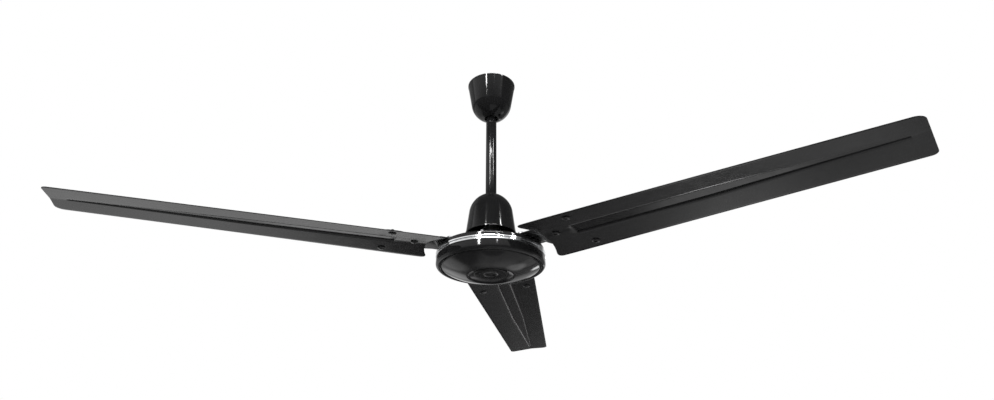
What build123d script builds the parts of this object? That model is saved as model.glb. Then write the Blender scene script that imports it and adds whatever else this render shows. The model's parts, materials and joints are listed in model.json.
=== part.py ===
from build123d import *
import os
from math import acos, atan, cos, degrees, radians, sin, sqrt, tan

# Industrial ceiling fan, 1422 mm sweep: a ceiling bracket carries a shackle on a rubber
# roller, a pipe hangs from the shackle, and a pancake motor with three bent steel blades
# turns about a hollow shaft fixed to the pipe. The stator stands still inside the motor,
# and both covers, the trim ring and the blades turn round it.
# The origin is the middle of the ceiling bracket's top face. Z points up, so the fan hangs
# below zero. Lengths are millimetres. Heights of motor pieces are measured from the deck,
# the flat top of the upper cover that the blade brackets lie on.

# Flats round a turned piece, which keep the model light
SHELL_SIDES = 36
CUP_SIDES = 36
END_RING_SIDES = 24
SLEEVE_SIDES = 16
RACE_SIDES = 16
BOLT_SIDES = 8

ARC_FLAT = 18.0             # longest flat on a rounded plan
CORNER_SIDES = 3            # fewest flats on one of its arcs
TALL = 60.0                 # cutters reach this far over and under a blade

# General clearances
RUN = 0.05          # radial gap of a running or sliding fit
SEAT = 0.1          # gap of a fixed piece in its seat
HOLE_GAP = 0.25     # radial gap of a bolt in its hole

# Ceiling bracket
PLATE_LENGTH = 70.0
PLATE_WIDTH = 30.0
PLATE_THICK = 3.0
CEILING_HOLE_R = 3.25
CEILING_HOLE_SPACING = 52.0
LEG_WIDTH = 26.0
LEG_THICK = 3.0
HANGER_DROP = 27.0          # ceiling to the hanger bolt's axis

# Rubber roller and shackle
ROLLER_FLANGE_R = 16.0
ROLLER_FLANGE = 3.0
SHACKLE_WIDTH = 20.0
SHACKLE_THICK = 3.0
CLEVIS_DROP = 32.0          # hanger bolt's axis to the clevis bolt's axis
ROD_OVER_CLEVIS = 12.0

# Bolts
M8_R = 4.0
M8_FLATS = 13.0
M8_HEAD = 5.3
M8_NUT = 6.5
BOLT_TAIL = 7.0             # bolt end past its nut, with room for the split pin
PIN_PLACE = 3.2             # split pin's axis past the nut
PIN_R = 0.9
SCREW_R = 2.0               # canopy and cover screws

# Downrod
ROD_R = 10.65
ROD_WALL = 2.3
ROD_LENGTH = 270.0

# Upper canopy, a cup open at the top
CANOPY_GAP = 4.8            # ceiling to the rim
CANOPY_RIM_R = 49.2
CANOPY_STRAIGHT = 50.5
CANOPY_TAPER = 9.37         # degrees
CANOPY_ARC = 38.6
CANOPY_WALL = 1.0
CANOPY_HOLE_R = 13.6
CANOPY_NECK_WALL = 2.4
CANOPY_NECK = 9.0

# Lower canopy, a bell open at the bottom
BELL_GAP = 33.1             # deck to the bell's rim
BELL_RIM_R = 48.4
BELL_STRAIGHT = 46.3
BELL_TAPER = 7.75           # degrees
BELL_ARC = 45.0
BELL_WALL = 1.0
BELL_NECK_WALL = 2.4
BELL_NECK = 10.0

# Both canopies
BOWL_STEPS = 5              # flats down the round of a bowl
CUP_SCREW_SLOPE = 40.0      # degrees
CUP_SCREW_LENGTH = 11.0

# Shaft coupling
COUPLING_ROD_DEPTH = 24.0
COUPLING_SHAFT_DEPTH = 26.0
COUPLING_BOLT_UP = 12.0     # rod's end to the coupling bolt
SET_SCREW_R = 3.0
SET_SCREW_DOWN = 21.0       # rod's end to the set screw

# Capacitor on the coupling
CAPACITOR_WIDTH = 36.0
CAPACITOR_DEPTH = 16.0
CAPACITOR_HEIGHT = 30.0
CLIP_THICK = 0.8
CLIP_HEIGHT = 8.0

# Shaft
DECK_TO_COUPLING = 36.5
SHAFT_R = 8.5
SHAFT_LOWER_R = 7.5
SHAFT_BORE_R = 4.5
CIRCLIP_DEEP = 0.8
CIRCLIP_THICK = 1.0

# Bearings, by bore radius, outside radius and width
UPPER_OUT_R = 20.0
UPPER_WIDTH = 12.0
LOWER_OUT_R = 17.5
LOWER_WIDTH = 11.0
BALL_R = 3.0
BALL_COUNT = 8
RACE_WALL = 3.2
CAGE_THICK = 0.8
WASHER_THICK = 0.9

# Motor covers
COVER_WALL = 3.0
DECK_R = 100.0
MOTOR_R = DECK_R + 1.8      # black band round the lower cover
DECK_EDGE = 2.5
HUB_FOOT_R = 60.0
HUB_TOP_R = HUB_FOOT_R - 13
HUB_HEIGHT = 21.5
TRIM_TOP = 7.9              # deck down to the trim ring
TRIM_HEIGHT = 9.3
TRIM_THICK = 1.6
TRIM_BULGE = 0.7
BAND_BOTTOM = 29.8          # deck down to the band's lower corner
RIM_DEPTH = 34.0            # deck down to the flat of the lower rim
RIM_INNER_R = MOTOR_R - 8.4
GROOVE_DEPTH = 3.0
DOME_R = RIM_INNER_R - 2.4
DOME_BELLY = 0.7
RECESS_R = 43.0
RECESS_EDGE = 49.8          # deck down to the dome's lowest ring
RECESS_DEPTH = 5.6
CAP_R = RECESS_R - 12
CAP_THICK = 2.6
CAP_DIMPLE_R = 0.4 * CAP_R
CAP_DIMPLE = 0.8

# Stator and rotor
CORE_TOP = 10.5             # deck down to the core
CORE_HEIGHT = 15.0
STATOR_R = DECK_R - 18
AIR_GAP = 0.4
TOOTH_COUNT = 12
TOOTH_WIDTH = 10.0
SHOE_EDGE = 3.3             # thickness of a tooth's shoe at its edge
SLOT_MOUTH = 5.0
YOKE_R = 44.0
COIL_INNER_R = YOKE_R + 3
COIL_OUTER_R = STATOR_R - 6.5
COIL_THICK = 4.6
COIL_OVERHANG = 4.6
END_RING_WIDTH = 3.4
END_RING_HEIGHT = 3.0
THROUGH_SCREW_R = DECK_R - 8
LAND_R = DECK_R - 13        # inner edge of the ring that clamps the rotor core
SCREW_BITE = 4.0

# Blades and their brackets
BLADE_COUNT = 3
BLADE_TURN = -39.45         # degrees from +X to the first blade
BLADE_TIP_R = 711.0
BLADE_ROOT_R = DECK_R + 24
BLADE_THICK = 1.0
LEAD_ROOT = 67.6            # half widths, at the root and at the tip
LEAD_TIP = 42.9
TRAIL_ROOT = 69.6
TRAIL_TIP = 57.3
ROOT_CORNER = 13.0
LEAD_TIP_CORNER = 13.0
TRAIL_TIP_CORNER = 9.0
BLADE_DROOP = 1.39          # degrees that the crease falls outwards
LEAD_FALL_ROOT = 1.45       # degrees that each flank falls from the crease
LEAD_FALL_TIP = -2.0
TRAIL_FALL_ROOT = 12.15
TRAIL_FALL_TIP = 7.8
BEND_R = 60.0
RIB_START = BLADE_ROOT_R + 57
RIB_END = BLADE_TIP_R - 21
RIB_ROOT_WIDTH = 24.0
RIB_TIP_WIDTH = 6.0
RIB_HEIGHT = 2.0
RIB_SLOPE = 1.6
RIB_ROOT_T = 1.5            # middle of the rib, from the crease
RIB_TIP_T = 4.0
BRACKET_THICK = 3.0
BRACKET_IN_R = HUB_FOOT_R + 3
BRACKET_FLAT_R = DECK_R - 1         # end of the part that lies flat on the deck
BRACKET_SEAT_R = BLADE_ROOT_R - 5   # start of the part that follows the blade
BRACKET_NECK = 29.0
SEAT_DROP = 0.6
DECK_SCREW_R = DECK_R - 12.5        # bracket screws, along and across the bracket
DECK_SCREW_T = BRACKET_NECK - 7
DECK_SCREW_FLATS = 9.0
DECK_SCREW_HEAD = 4.0
DECK_SCREW_DEPTH = 8.0
BLADE_SCREW_R1 = BLADE_ROOT_R + 22.5
BLADE_SCREW_R2 = BLADE_SCREW_R1 + 51
LEAD_SCREW_T = 45.0
TRAIL_SCREW_T = 49.5
BRACKET_MARGIN = 14.5               # bracket past its outer screws
BRACKET_WING = TRAIL_SCREW_T + 8.5
BRACKET_CORNER = 9.0
NOTCH_GAP = 8.0                     # bracket's opening past the rib on each side
BLADE_SCREW_R = 2.5
SCREW_HEAD_R = 7.0
SCREW_HEAD = 2.6

# Worked-out heights and radii
HANGER_Z = -HANGER_DROP
CLEVIS_Z = HANGER_Z - CLEVIS_DROP
ROD_TOP = CLEVIS_Z + ROD_OVER_CLEVIS
ROD_BOTTOM = ROD_TOP - ROD_LENGTH
COUPLING_TOP = ROD_BOTTOM + COUPLING_ROD_DEPTH
COUPLING_BOTTOM = ROD_BOTTOM - COUPLING_SHAFT_DEPTH
DECK = COUPLING_BOTTOM - DECK_TO_COUPLING
CANOPY_RIM = -CANOPY_GAP
BELL_RIM = DECK + BELL_GAP
SHACKLE_IN = ROD_R + 3 * SEAT
COUPLING_R = SHACKLE_IN + SHACKLE_THICK
ROLLER_R = SHACKLE_IN - RUN
ROLLER_HALF = SHACKLE_WIDTH / 2 + 5 * SEAT + ROLLER_FLANGE
BRACKET_OUT_R = BLADE_SCREW_R2 + BRACKET_MARGIN
LEG_X = ROLLER_HALF + 2 * SEAT
CORE_BOTTOM = DECK - CORE_TOP - CORE_HEIGHT
HUB_TOP = DECK + HUB_HEIGHT
POCKET_TOP = HUB_TOP - COVER_WALL
UPPER_BEARING_TOP = POCKET_TOP - WASHER_THICK - SEAT
UPPER_BEARING_BOTTOM = UPPER_BEARING_TOP - UPPER_WIDTH
FLOOR = DECK - RECESS_EDGE + RECESS_DEPTH + COVER_WALL
LOWER_BEARING_BOTTOM = FLOOR + SEAT
LOWER_BEARING_TOP = LOWER_BEARING_BOTTOM + LOWER_WIDTH
COVER_IN_R = DECK_R - COVER_WALL
ROTOR_OUT_R = COVER_IN_R - SEAT
TRIM_BOTTOM = DECK - TRIM_TOP - TRIM_HEIGHT
SHAFT_TOP = ROD_BOTTOM - 20 * SEAT


def spun(outer, inner, sides):
    """Turned shape with flats round it. The outer outline touches its circles from inside
    and the inner outline touches them from outside, so fits stay clear all the way round."""
    wide = 1 / cos(radians(180 / sides))
    outline = list(outer) + [(radius * wide, height) for radius, height in reversed(inner)]
    faces = []
    for (radius_1, height_1), (radius_2, height_2) in zip(outline, outline[1:] + outline[:1]):
        for index in range(sides):
            angle_1 = radians(360 / sides * index)
            angle_2 = radians(360 / sides * (index + 1))
            corners = [
                (radius_1 * cos(angle_1), radius_1 * sin(angle_1), height_1),
                (radius_1 * cos(angle_2), radius_1 * sin(angle_2), height_1),
                (radius_2 * cos(angle_2), radius_2 * sin(angle_2), height_2),
                (radius_2 * cos(angle_1), radius_2 * sin(angle_1), height_2),
            ]
            if radius_1 == 0:
                corners = corners[1:]
            elif radius_2 == 0:
                corners = corners[:3]
            if radius_1 + radius_2 > 0:
                faces.append(Face(Wire.make_polygon(corners)))
    return Solid(Shell(faces)).clean()


def ring(outer, inner, bottom, top, sides):
    """Upright ring about Z with flats round it."""
    return spun([(outer, bottom), (outer, top)], [(inner, bottom), (inner, top)], sides)


def bar(radius, length, touch=False):
    """Fastener's shank, or the hole for it where touch is true, pointing up from zero."""
    return extrude(RegularPolygon(radius, BOLT_SIDES, major_radius=not touch), length)


def disc(radius, bottom, top, x=0.0, y=0.0):
    """Upright round solid with its axis through x and y."""
    return Pos(x, y, bottom) * Cylinder(radius, top - bottom, align=(Align.CENTER, Align.CENTER, Align.MIN))


def turn_to(axis, start):
    """Place that points Z along X or Y, from a start on that axis."""
    if axis == "x":
        return Pos(start, 0, 0) * Rot(0, 90, 0)
    return Pos(0, start, 0) * Rot(-90, 0, 0)


def along(axis, length, radius, start, touch=False):
    """Fastener's shank or hole along X or Y from its start, which is negative on one side."""
    return turn_to(axis, start) * bar(radius, length, touch)


def hexagon(axis, flats, thick, start):
    """Hexagonal head or nut blank along X or Y."""
    return turn_to(axis, start) * extrude(RegularPolygon(flats / 2, 6, major_radius=False), thick)


def whole(shape):
    """The shape as one part, whatever the operation before it gave."""
    return Part() + shape


def flattened(face):
    """The face with the arcs of its outline cut into flats."""
    points = []
    for edge in face.face().outer_wire().order_edges():
        count = 1
        if edge.geom_type != GeomType.LINE:
            count = max(CORNER_SIDES, round(edge.length / ARC_FLAT))
        run = [edge @ (step / count) for step in range(count + 1)]
        if points and (run[0] - points[-1]).length > (run[-1] - points[-1]).length:
            run.reverse()
        points += run if not points else run[1:]
    return make_face(Polyline(*points[:-1], close=True))


def export(shape, name):
    """Writes one named node."""
    shape.label = name
    export_step(shape, f"parts/{name}.step")


def group(shapes):
    """Separate solids of one node, such as a set of screws."""
    return Compound(children=[solid for shape in shapes for solid in shape.solids()])


def cross_bolt(axis, half_grip):
    """M8 bolt, nut and split pin through the origin. The head is on the negative side."""
    shank = half_grip + M8_NUT + BOLT_TAIL
    pin_at = half_grip + M8_NUT + PIN_PLACE
    spot = Pos(pin_at, 0, 0) if axis == "x" else Pos(0, pin_at, 0) * Rot(0, 0, 90)
    pin_half = M8_R + 3 * PIN_R
    bolt = hexagon(axis, M8_FLATS, M8_HEAD, -half_grip - M8_HEAD)
    bolt += along(axis, half_grip + shank, M8_R, -half_grip)
    bolt -= spot * Pos(0, 0, -pin_half) * bar(PIN_R + RUN, 2 * pin_half, touch=True)
    nut = hexagon(axis, M8_FLATS, M8_NUT, half_grip) - along(axis, M8_NUT, M8_R, half_grip, touch=True)
    eye = extrude(RegularPolygon(3 * PIN_R, 8) - RegularPolygon(1.5 * PIN_R, 8), PIN_R, both=True)
    pin = Pos(0, 0, -pin_half) * bar(PIN_R, 2 * pin_half)
    pin += Pos(0, 0, pin_half + 2 * PIN_R) * Rot(0, 90, 0) * eye
    return whole(bolt), whole(nut), whole(spot * pin)


def ceiling_bracket():
    """Base plate with two ears that hold the hanger bolt."""
    plate = Box(PLATE_LENGTH, PLATE_WIDTH, PLATE_THICK, align=(Align.CENTER, Align.CENTER, Align.MAX))
    plate = chamfer(plate.edges().filter_by(Axis.Z), PLATE_WIDTH / 6)
    for side in (-1, 1):
        plate -= disc(CEILING_HOLE_R, -PLATE_THICK, 0, side * CEILING_HOLE_SPACING / 2)
        outline = Pos(0, HANGER_Z) * RegularPolygon(LEG_WIDTH / 2, SLEEVE_SIDES, major_radius=False)
        outline += Pos(0, HANGER_Z / 2) * Rectangle(LEG_WIDTH, HANGER_DROP)
        outline -= Pos(0, HANGER_Z) * RegularPolygon(M8_R + HOLE_GAP, BOLT_SIDES, major_radius=False)
        start = LEG_X if side > 0 else -LEG_X - LEG_THICK
        plate += extrude(Plane(origin=(start, 0, 0), x_dir=(0, 1, 0), z_dir=(1, 0, 0)) * outline, LEG_THICK)
    return whole(plate)


def rubber_roller():
    """Grooved bush on the hanger bolt that the shackle hangs over."""
    groove = ROLLER_HALF - ROLLER_FLANGE
    outer = [(ROLLER_FLANGE_R, -ROLLER_HALF), (ROLLER_R, -groove), (ROLLER_R, groove), (ROLLER_FLANGE_R, ROLLER_HALF)]
    inner = [(M8_R + RUN, -ROLLER_HALF), (M8_R + RUN, ROLLER_HALF)]
    return whole(Pos(0, 0, HANGER_Z) * Rot(0, 90, 0) * spun(outer, inner, SLEEVE_SIDES))


def shackle():
    """Steel strap bent over the roller, with both legs on the rod."""
    outer = SHACKLE_IN + SHACKLE_THICK
    foot = CLEVIS_Z - SHACKLE_WIDTH / 2
    bow = Pos(0, HANGER_Z) * (Circle(outer) - Circle(SHACKLE_IN))
    bow -= Pos(0, HANGER_Z - outer) * Rectangle(2 * outer, 2 * outer)
    legs = Sketch()
    for side in (-1, 1):
        middle = side * (SHACKLE_IN + SHACKLE_THICK / 2)
        legs += Pos(middle, (HANGER_Z + foot) / 2) * Rectangle(SHACKLE_THICK, HANGER_Z - foot)
    strap = extrude(Plane.YZ * (bow + legs), SHACKLE_WIDTH / 2, both=True)
    strap -= Pos(0, 0, CLEVIS_Z) * along("y", 4 * outer, M8_R + HOLE_GAP, -2 * outer, touch=True)
    foot_edges = strap.edges().filter_by(Axis.Y).group_by(Axis.Z)[0]
    return whole(chamfer(foot_edges, SHACKLE_WIDTH / 4))


def downrod():
    """Pipe with a cross hole at each end."""
    rod = ring(ROD_R, ROD_R - ROD_WALL, ROD_BOTTOM, ROD_TOP, SLEEVE_SIDES)
    for axis, height in (("y", CLEVIS_Z), ("x", ROD_BOTTOM + COUPLING_BOLT_UP)):
        rod -= Pos(0, 0, height) * along(axis, 4 * ROD_R, M8_R + HOLE_GAP, -2 * ROD_R, touch=True)
    return whole(rod)


def cup(rim_r, straight, taper, arc_r, wall, hole_r, neck_wall, neck):
    """Pressed cup open at the top with its rim at zero, and a neck round its bottom hole."""
    slope = radians(taper)
    centre_r = rim_r - straight * tan(slope) - arc_r * cos(slope)
    centre_z = arc_r * sin(slope) - straight

    def bowl(reach, end_r, steps):
        end = acos((end_r - centre_r) / reach)
        angles = [slope + (end - slope) * step / steps for step in range(steps + 1)]
        return [(centre_r + reach * cos(angle), centre_z - reach * sin(angle)) for angle in angles]

    neck_r = hole_r + neck_wall
    inside = bowl(arc_r - wall, neck_r, BOWL_STEPS - 2)
    neck_top = inside[-1][1] + neck
    outer = [(rim_r, 0)] + bowl(arc_r, hole_r, BOWL_STEPS)
    inner = [(rim_r - wall / cos(slope), 0)] + inside + [(neck_r, neck_top), (hole_r, neck_top)]
    return spun(outer, inner, CUP_SIDES), neck_top


def cup_with_screw(shell, neck_top, neck):
    """The cup with its sloping set screw hole, and the screw that grips the rod."""
    start = ROD_R + SEAT + SCREW_R * sin(radians(CUP_SCREW_SLOPE))
    place = Pos(start, 0, neck_top - neck / 3) * Rot(0, CUP_SCREW_SLOPE, 0)
    hole = place * along("x", 2 * CUP_SCREW_LENGTH, SCREW_R + RUN, 0, touch=True)
    screw = along("x", CUP_SCREW_LENGTH, SCREW_R, 0) + along("x", SCREW_R, 1.6 * SCREW_R, CUP_SCREW_LENGTH)
    return whole(shell - hole), whole(place * screw)


def coupling():
    """Sleeve that joins the rod to the motor shaft."""
    shaft_bore = SHAFT_R + SEAT
    rod_bore = ROD_R + SEAT
    outer = [(COUPLING_R, COUPLING_BOTTOM), (COUPLING_R, COUPLING_TOP)]
    inner = [(shaft_bore, COUPLING_BOTTOM), (shaft_bore, ROD_BOTTOM), (rod_bore, ROD_BOTTOM), (rod_bore, COUPLING_TOP)]
    sleeve = spun(outer, inner, SLEEVE_SIDES)
    bolt_z = ROD_BOTTOM + COUPLING_BOLT_UP
    sleeve -= Pos(0, 0, bolt_z) * along("x", 4 * COUPLING_R, M8_R + HOLE_GAP, -2 * COUPLING_R, touch=True)
    screw_z = ROD_BOTTOM - SET_SCREW_DOWN
    sleeve -= Pos(0, 0, screw_z) * along("y", 2 * COUPLING_R, SET_SCREW_R + RUN, -2 * COUPLING_R, touch=True)
    return whole(sleeve)


def coupling_set_screw():
    """Grub screw that locks the coupling on the shaft."""
    length = COUPLING_R - SHAFT_R - 2 * RUN
    screw = along("y", length, SET_SCREW_R, -SHAFT_R - RUN - length)
    screw -= Pos(0, -SHAFT_R - RUN - length, 0) * Box(4 * SET_SCREW_R, 3.0, 1.0)
    return whole(Pos(0, 0, ROD_BOTTOM - SET_SCREW_DOWN) * screw)


def capacitor_and_clip():
    """Boxed run capacitor held beside the coupling by a band."""
    inner = COUPLING_R + SEAT
    near = inner + CLIP_THICK
    middle = (COUPLING_TOP + COUPLING_BOTTOM) / 2 - COUPLING_BOLT_UP
    place = Pos(0, near + CAPACITOR_DEPTH / 2, middle)
    body = Box(CAPACITOR_WIDTH, CAPACITOR_DEPTH, CAPACITOR_HEIGHT)
    body = chamfer(body.edges().filter_by(Axis.Z), 2.0)
    band = ring(near, inner, middle - CLIP_HEIGHT / 2, middle + CLIP_HEIGHT / 2, SLEEVE_SIDES)
    span = CAPACITOR_WIDTH + 2 * SEAT + 2 * CLIP_THICK
    back = Pos(0, near - CLIP_THICK / 2, middle) * Box(span, CLIP_THICK, CLIP_HEIGHT)
    for side in (-1, 1):
        x = side * (span - CLIP_THICK) / 2
        arm = Box(CLIP_THICK, CAPACITOR_DEPTH / 2, CLIP_HEIGHT)
        back += Pos(x, near + CAPACITOR_DEPTH / 4 - CLIP_THICK, middle) * arm
    return whole(place * body), whole(band + back)


def motor_shaft():
    """Hollow stepped shaft with a collar under the upper bearing and a circlip groove."""
    collar = SHAFT_R + 2.5
    groove = UPPER_BEARING_TOP + SEAT
    bottom = LOWER_BEARING_BOTTOM - 1
    core_top = DECK - CORE_TOP
    outer = [
        (SHAFT_LOWER_R, bottom), (SHAFT_LOWER_R, LOWER_BEARING_TOP), (SHAFT_R, LOWER_BEARING_TOP), (SHAFT_R, core_top),
        (collar, core_top), (collar, UPPER_BEARING_BOTTOM), (SHAFT_R, UPPER_BEARING_BOTTOM), (SHAFT_R, groove),
        (SHAFT_R - CIRCLIP_DEEP, groove), (SHAFT_R - CIRCLIP_DEEP, groove + 1.2 * CIRCLIP_THICK),
        (SHAFT_R, groove + 1.2 * CIRCLIP_THICK), (SHAFT_R, SHAFT_TOP),
    ]
    shaft = spun(outer, [(SHAFT_BORE_R, bottom), (SHAFT_BORE_R, SHAFT_TOP)], SLEEVE_SIDES)
    wire_hole = Pos(0, 0, (core_top + UPPER_BEARING_BOTTOM) / 2) * along("x", 2 * collar, SHAFT_BORE_R / 2, 0)
    return whole(shaft - wire_hole)


def shaft_circlip():
    """Open ring in the shaft's groove above the upper bearing."""
    bottom = UPPER_BEARING_TOP + 1.5 * SEAT
    clip = ring(SHAFT_R + 1.4, SHAFT_R - CIRCLIP_DEEP + SEAT, bottom, bottom + CIRCLIP_THICK, SLEEVE_SIDES)
    return whole(clip - Pos(SHAFT_R, 0, bottom) * Box(6, 3, 4))


def faceted_ball(radius):
    """Ball cut from three eight-sided bars, close to round with few faces."""
    bar = extrude(RegularPolygon(radius, 8, major_radius=False), radius, both=True)
    bar = Rot(0, 0, 22.5) * bar
    return bar & (Rot(90, 0, 0) * bar) & (Rot(0, 90, 0) * bar)


def bearing(bore, out_r, bottom, width):
    """Deep groove bearing: inner race, ball set in its cage, and outer race."""
    top = bottom + width
    middle = bottom + width / 2
    pitch = (bore + out_r) / 2

    def track(face, gap):
        reach = BALL_R + gap
        deep = pitch + (reach if face > pitch else -reach)
        floor = reach * tan(radians(22.5))
        mouth = floor + abs(face - deep)
        return [
            (face, bottom), (face, middle - mouth), (deep, middle - floor),
            (deep, middle + floor), (face, middle + mouth), (face, top),
        ]

    inner = spun(track(bore + RACE_WALL, RUN), [(bore + RUN, bottom), (bore + RUN, top)], RACE_SIDES)
    outer = spun([(out_r, bottom), (out_r, top)], track(out_r - RACE_WALL, 3 * RUN), RACE_SIDES)
    outside = RegularPolygon(pitch + CAGE_THICK / 2, BALL_COUNT, major_radius=False)
    inside = RegularPolygon(pitch - CAGE_THICK / 2, BALL_COUNT, major_radius=False)
    flats = Rot(0, 0, 180 / BALL_COUNT) * (outside - inside)
    cage = Pos(0, 0, middle) * extrude(flats, BALL_R * 0.6, both=True)
    for place in PolarLocations(pitch, BALL_COUNT):
        cage += Pos(0, 0, middle) * place * faceted_ball(BALL_R)
    return whole(inner), whole(cage), whole(outer)


def stator_core():
    """Slotted lamination stack pressed on the shaft, with its teeth outwards."""
    half = STATOR_R * sin(radians(180 / TOOTH_COUNT)) - SLOT_MOUTH / 2
    corner = sqrt(STATOR_R**2 - half**2)
    shoe = corner - SHOE_EDGE
    side = TOOTH_WIDTH / 2
    profile = [(0, side), (shoe, side), (shoe, half), (corner, half)]
    tooth = make_face(Polyline(*profile, (STATOR_R, 0), *[(x, -y) for x, y in reversed(profile)], close=True))
    face = Rot(0, 0, 180 / TOOTH_COUNT) * RegularPolygon(YOKE_R, TOOTH_COUNT, major_radius=False)
    for place in PolarLocations(0, TOOTH_COUNT):
        face += place * tooth
    face -= Circle(SHAFT_R + RUN)
    return whole(Pos(0, 0, CORE_BOTTOM) * extrude(face, CORE_HEIGHT))


def stator_windings():
    """One closed coil round each tooth."""
    clear = 3 * SEAT
    hole_width = TOOTH_WIDTH + 2 * clear
    hole_height = CORE_HEIGHT + 2 * clear
    outer = Rectangle(hole_width + 2 * COIL_THICK, hole_height + 2 * COIL_OVERHANG)
    section = chamfer(outer.vertices(), COIL_THICK / 2) - Rectangle(hole_width, hole_height)
    middle = CORE_BOTTOM + CORE_HEIGHT / 2
    start = Plane(origin=(COIL_INNER_R, 0, middle), x_dir=(0, 1, 0), z_dir=(1, 0, 0))
    coil = extrude(start * section, COIL_OUTER_R - COIL_INNER_R)
    return group([place * coil for place in PolarLocations(0, TOOTH_COUNT)])


def rotor_core():
    """Ring of rotor laminations with a hole for each cover screw."""
    top = CORE_BOTTOM + CORE_HEIGHT
    core = ring(ROTOR_OUT_R, STATOR_R + AIR_GAP, CORE_BOTTOM, top, SHELL_SIDES)
    for place in screw_places():
        core -= place * Pos(0, 0, CORE_BOTTOM) * bar(SCREW_R + HOLE_GAP, CORE_HEIGHT, touch=True)
    return whole(core)


def rotor_end_rings():
    """Cast end rings of the squirrel cage, above and below the core."""
    inner = STATOR_R + AIR_GAP + 1
    top = CORE_BOTTOM + CORE_HEIGHT
    lower = ring(inner + END_RING_WIDTH, inner, CORE_BOTTOM - END_RING_HEIGHT, CORE_BOTTOM, END_RING_SIDES)
    upper = ring(inner + END_RING_WIDTH, inner, top, top + END_RING_HEIGHT, END_RING_SIDES)
    return group([lower, upper])


def blade_places():
    """Turns that take one blade and bracket to their places round the motor."""
    return [Rot(0, 0, BLADE_TURN + 360 / BLADE_COUNT * index) for index in range(BLADE_COUNT)]


def screw_places():
    """Places of the cover screws, midway between the blades."""
    half = 180 / BLADE_COUNT
    return [turn * Rot(0, 0, half) * Pos(THROUGH_SCREW_R, 0, 0) for turn in blade_places()]


def upper_cover():
    """Cast top cover: deck, raised hub with the upper bearing's pocket, and outer wall."""
    bottom = TRIM_BOTTOM - SEAT
    roof = DECK - COVER_WALL
    land = DECK - CORE_TOP
    pocket_r = UPPER_OUT_R + RUN
    pocket_roof = POCKET_TOP - COVER_WALL / 2
    mouth = SHAFT_R + 1.8
    lip = COVER_WALL
    blend = DECK_EDGE * (1 - sin(radians(45)))
    outer = [
        (mouth, HUB_TOP + lip), (mouth + 2 * lip, HUB_TOP + lip), (mouth + 3 * lip, HUB_TOP),
        (HUB_TOP_R - COVER_WALL, HUB_TOP), (HUB_TOP_R, HUB_TOP - COVER_WALL), (HUB_FOOT_R, DECK),
        (DECK_R - DECK_EDGE, DECK), (DECK_R - blend, DECK - blend), (DECK_R, DECK - DECK_EDGE), (DECK_R, bottom),
    ]
    inner = [
        (mouth, POCKET_TOP), (pocket_r, POCKET_TOP), (pocket_r, UPPER_BEARING_BOTTOM),
        (pocket_r + COVER_WALL, UPPER_BEARING_BOTTOM), (pocket_r + COVER_WALL, pocket_roof),
        (HUB_TOP_R - COVER_WALL, pocket_roof), (HUB_FOOT_R - COVER_WALL, roof), (LAND_R, roof), (LAND_R, land),
        (COVER_IN_R, land), (COVER_IN_R, bottom),
    ]
    cover = Part() + spun(outer, inner, SHELL_SIDES)
    for place in screw_places():
        cover -= place * Pos(0, 0, land) * bar(SCREW_R + HOLE_GAP, CORE_TOP, touch=True)
    for turn in blade_places():
        for side in (-1, 1):
            spot = turn * Pos(DECK_SCREW_R, side * DECK_SCREW_T, DECK - DECK_SCREW_DEPTH - 1)
            cover -= spot * bar(BLADE_SCREW_R + RUN, DECK_SCREW_DEPTH + 1, touch=True)
    return whole(cover)


def dome_height(radius):
    """Underside of the dome between its edge and the recess, with a slight belly."""
    share = (DOME_R - radius) / (DOME_R - RECESS_R)
    edge = -RIM_DEPTH + 0.2
    return DECK + edge + (-RECESS_EDGE - edge) * share - DOME_BELLY * 4 * share * (1 - share)


def lower_cover():
    """Cast bottom cover: banded wall, flat rim, groove, dome and central recess."""
    top = TRIM_BOTTOM - SEAT
    rim = DECK - RIM_DEPTH
    groove = rim + GROOVE_DEPTH
    corner = DECK - BAND_BOTTOM
    round_r = corner - rim
    blend = round_r * (1 - sin(radians(45)))
    recess = DECK - RECESS_EDGE + RECESS_DEPTH
    middle_r = (DOME_R + RECESS_R) / 2
    seat_r = LOWER_OUT_R + RUN
    hole_r = SHAFT_LOWER_R + 1
    outer = [
        (MOTOR_R, top), (MOTOR_R, corner), (MOTOR_R - blend, rim + blend), (MOTOR_R - round_r, rim), (RIM_INNER_R, rim),
        (RIM_INNER_R, groove), (DOME_R, groove), (DOME_R, dome_height(DOME_R)), (middle_r, dome_height(middle_r)),
        (RECESS_R, dome_height(RECESS_R)), (RECESS_R - 1.5, dome_height(RECESS_R) + 1.5), (CAP_R + 4, recess),
        (hole_r, recess), (hole_r, FLOOR),
    ]
    inner = [
        (COVER_IN_R, top), (COVER_IN_R, CORE_BOTTOM), (LAND_R, CORE_BOTTOM), (LAND_R, dome_height(LAND_R) + COVER_WALL),
        (RECESS_R + 1, FLOOR), (seat_r + COVER_WALL, FLOOR), (seat_r + COVER_WALL, LOWER_BEARING_TOP),
        (seat_r, LOWER_BEARING_TOP), (seat_r, FLOOR),
    ]
    cover = Part() + spun(outer, inner, SHELL_SIDES)
    for place in screw_places():
        cover -= place * Pos(0, 0, CORE_BOTTOM - SCREW_BITE - 1) * bar(SCREW_R + RUN, SCREW_BITE + 1, touch=True)
    return whole(cover)


def trim_ring():
    """Bright ring round the upper cover's wall, with two beads and a groove between them."""
    inner = DECK_R + SEAT
    edge = inner + TRIM_THICK
    top = TRIM_BOTTOM + TRIM_HEIGHT
    middle = TRIM_BOTTOM + TRIM_HEIGHT / 2
    quarter = TRIM_HEIGHT / 4
    outer = [
        (edge, TRIM_BOTTOM), (edge + TRIM_BULGE, middle - quarter), (edge - TRIM_BULGE, middle),
        (edge + TRIM_BULGE, middle + quarter), (edge, top),
    ]
    return whole(spun(outer, [(inner, TRIM_BOTTOM), (inner, top)], SHELL_SIDES))


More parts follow.
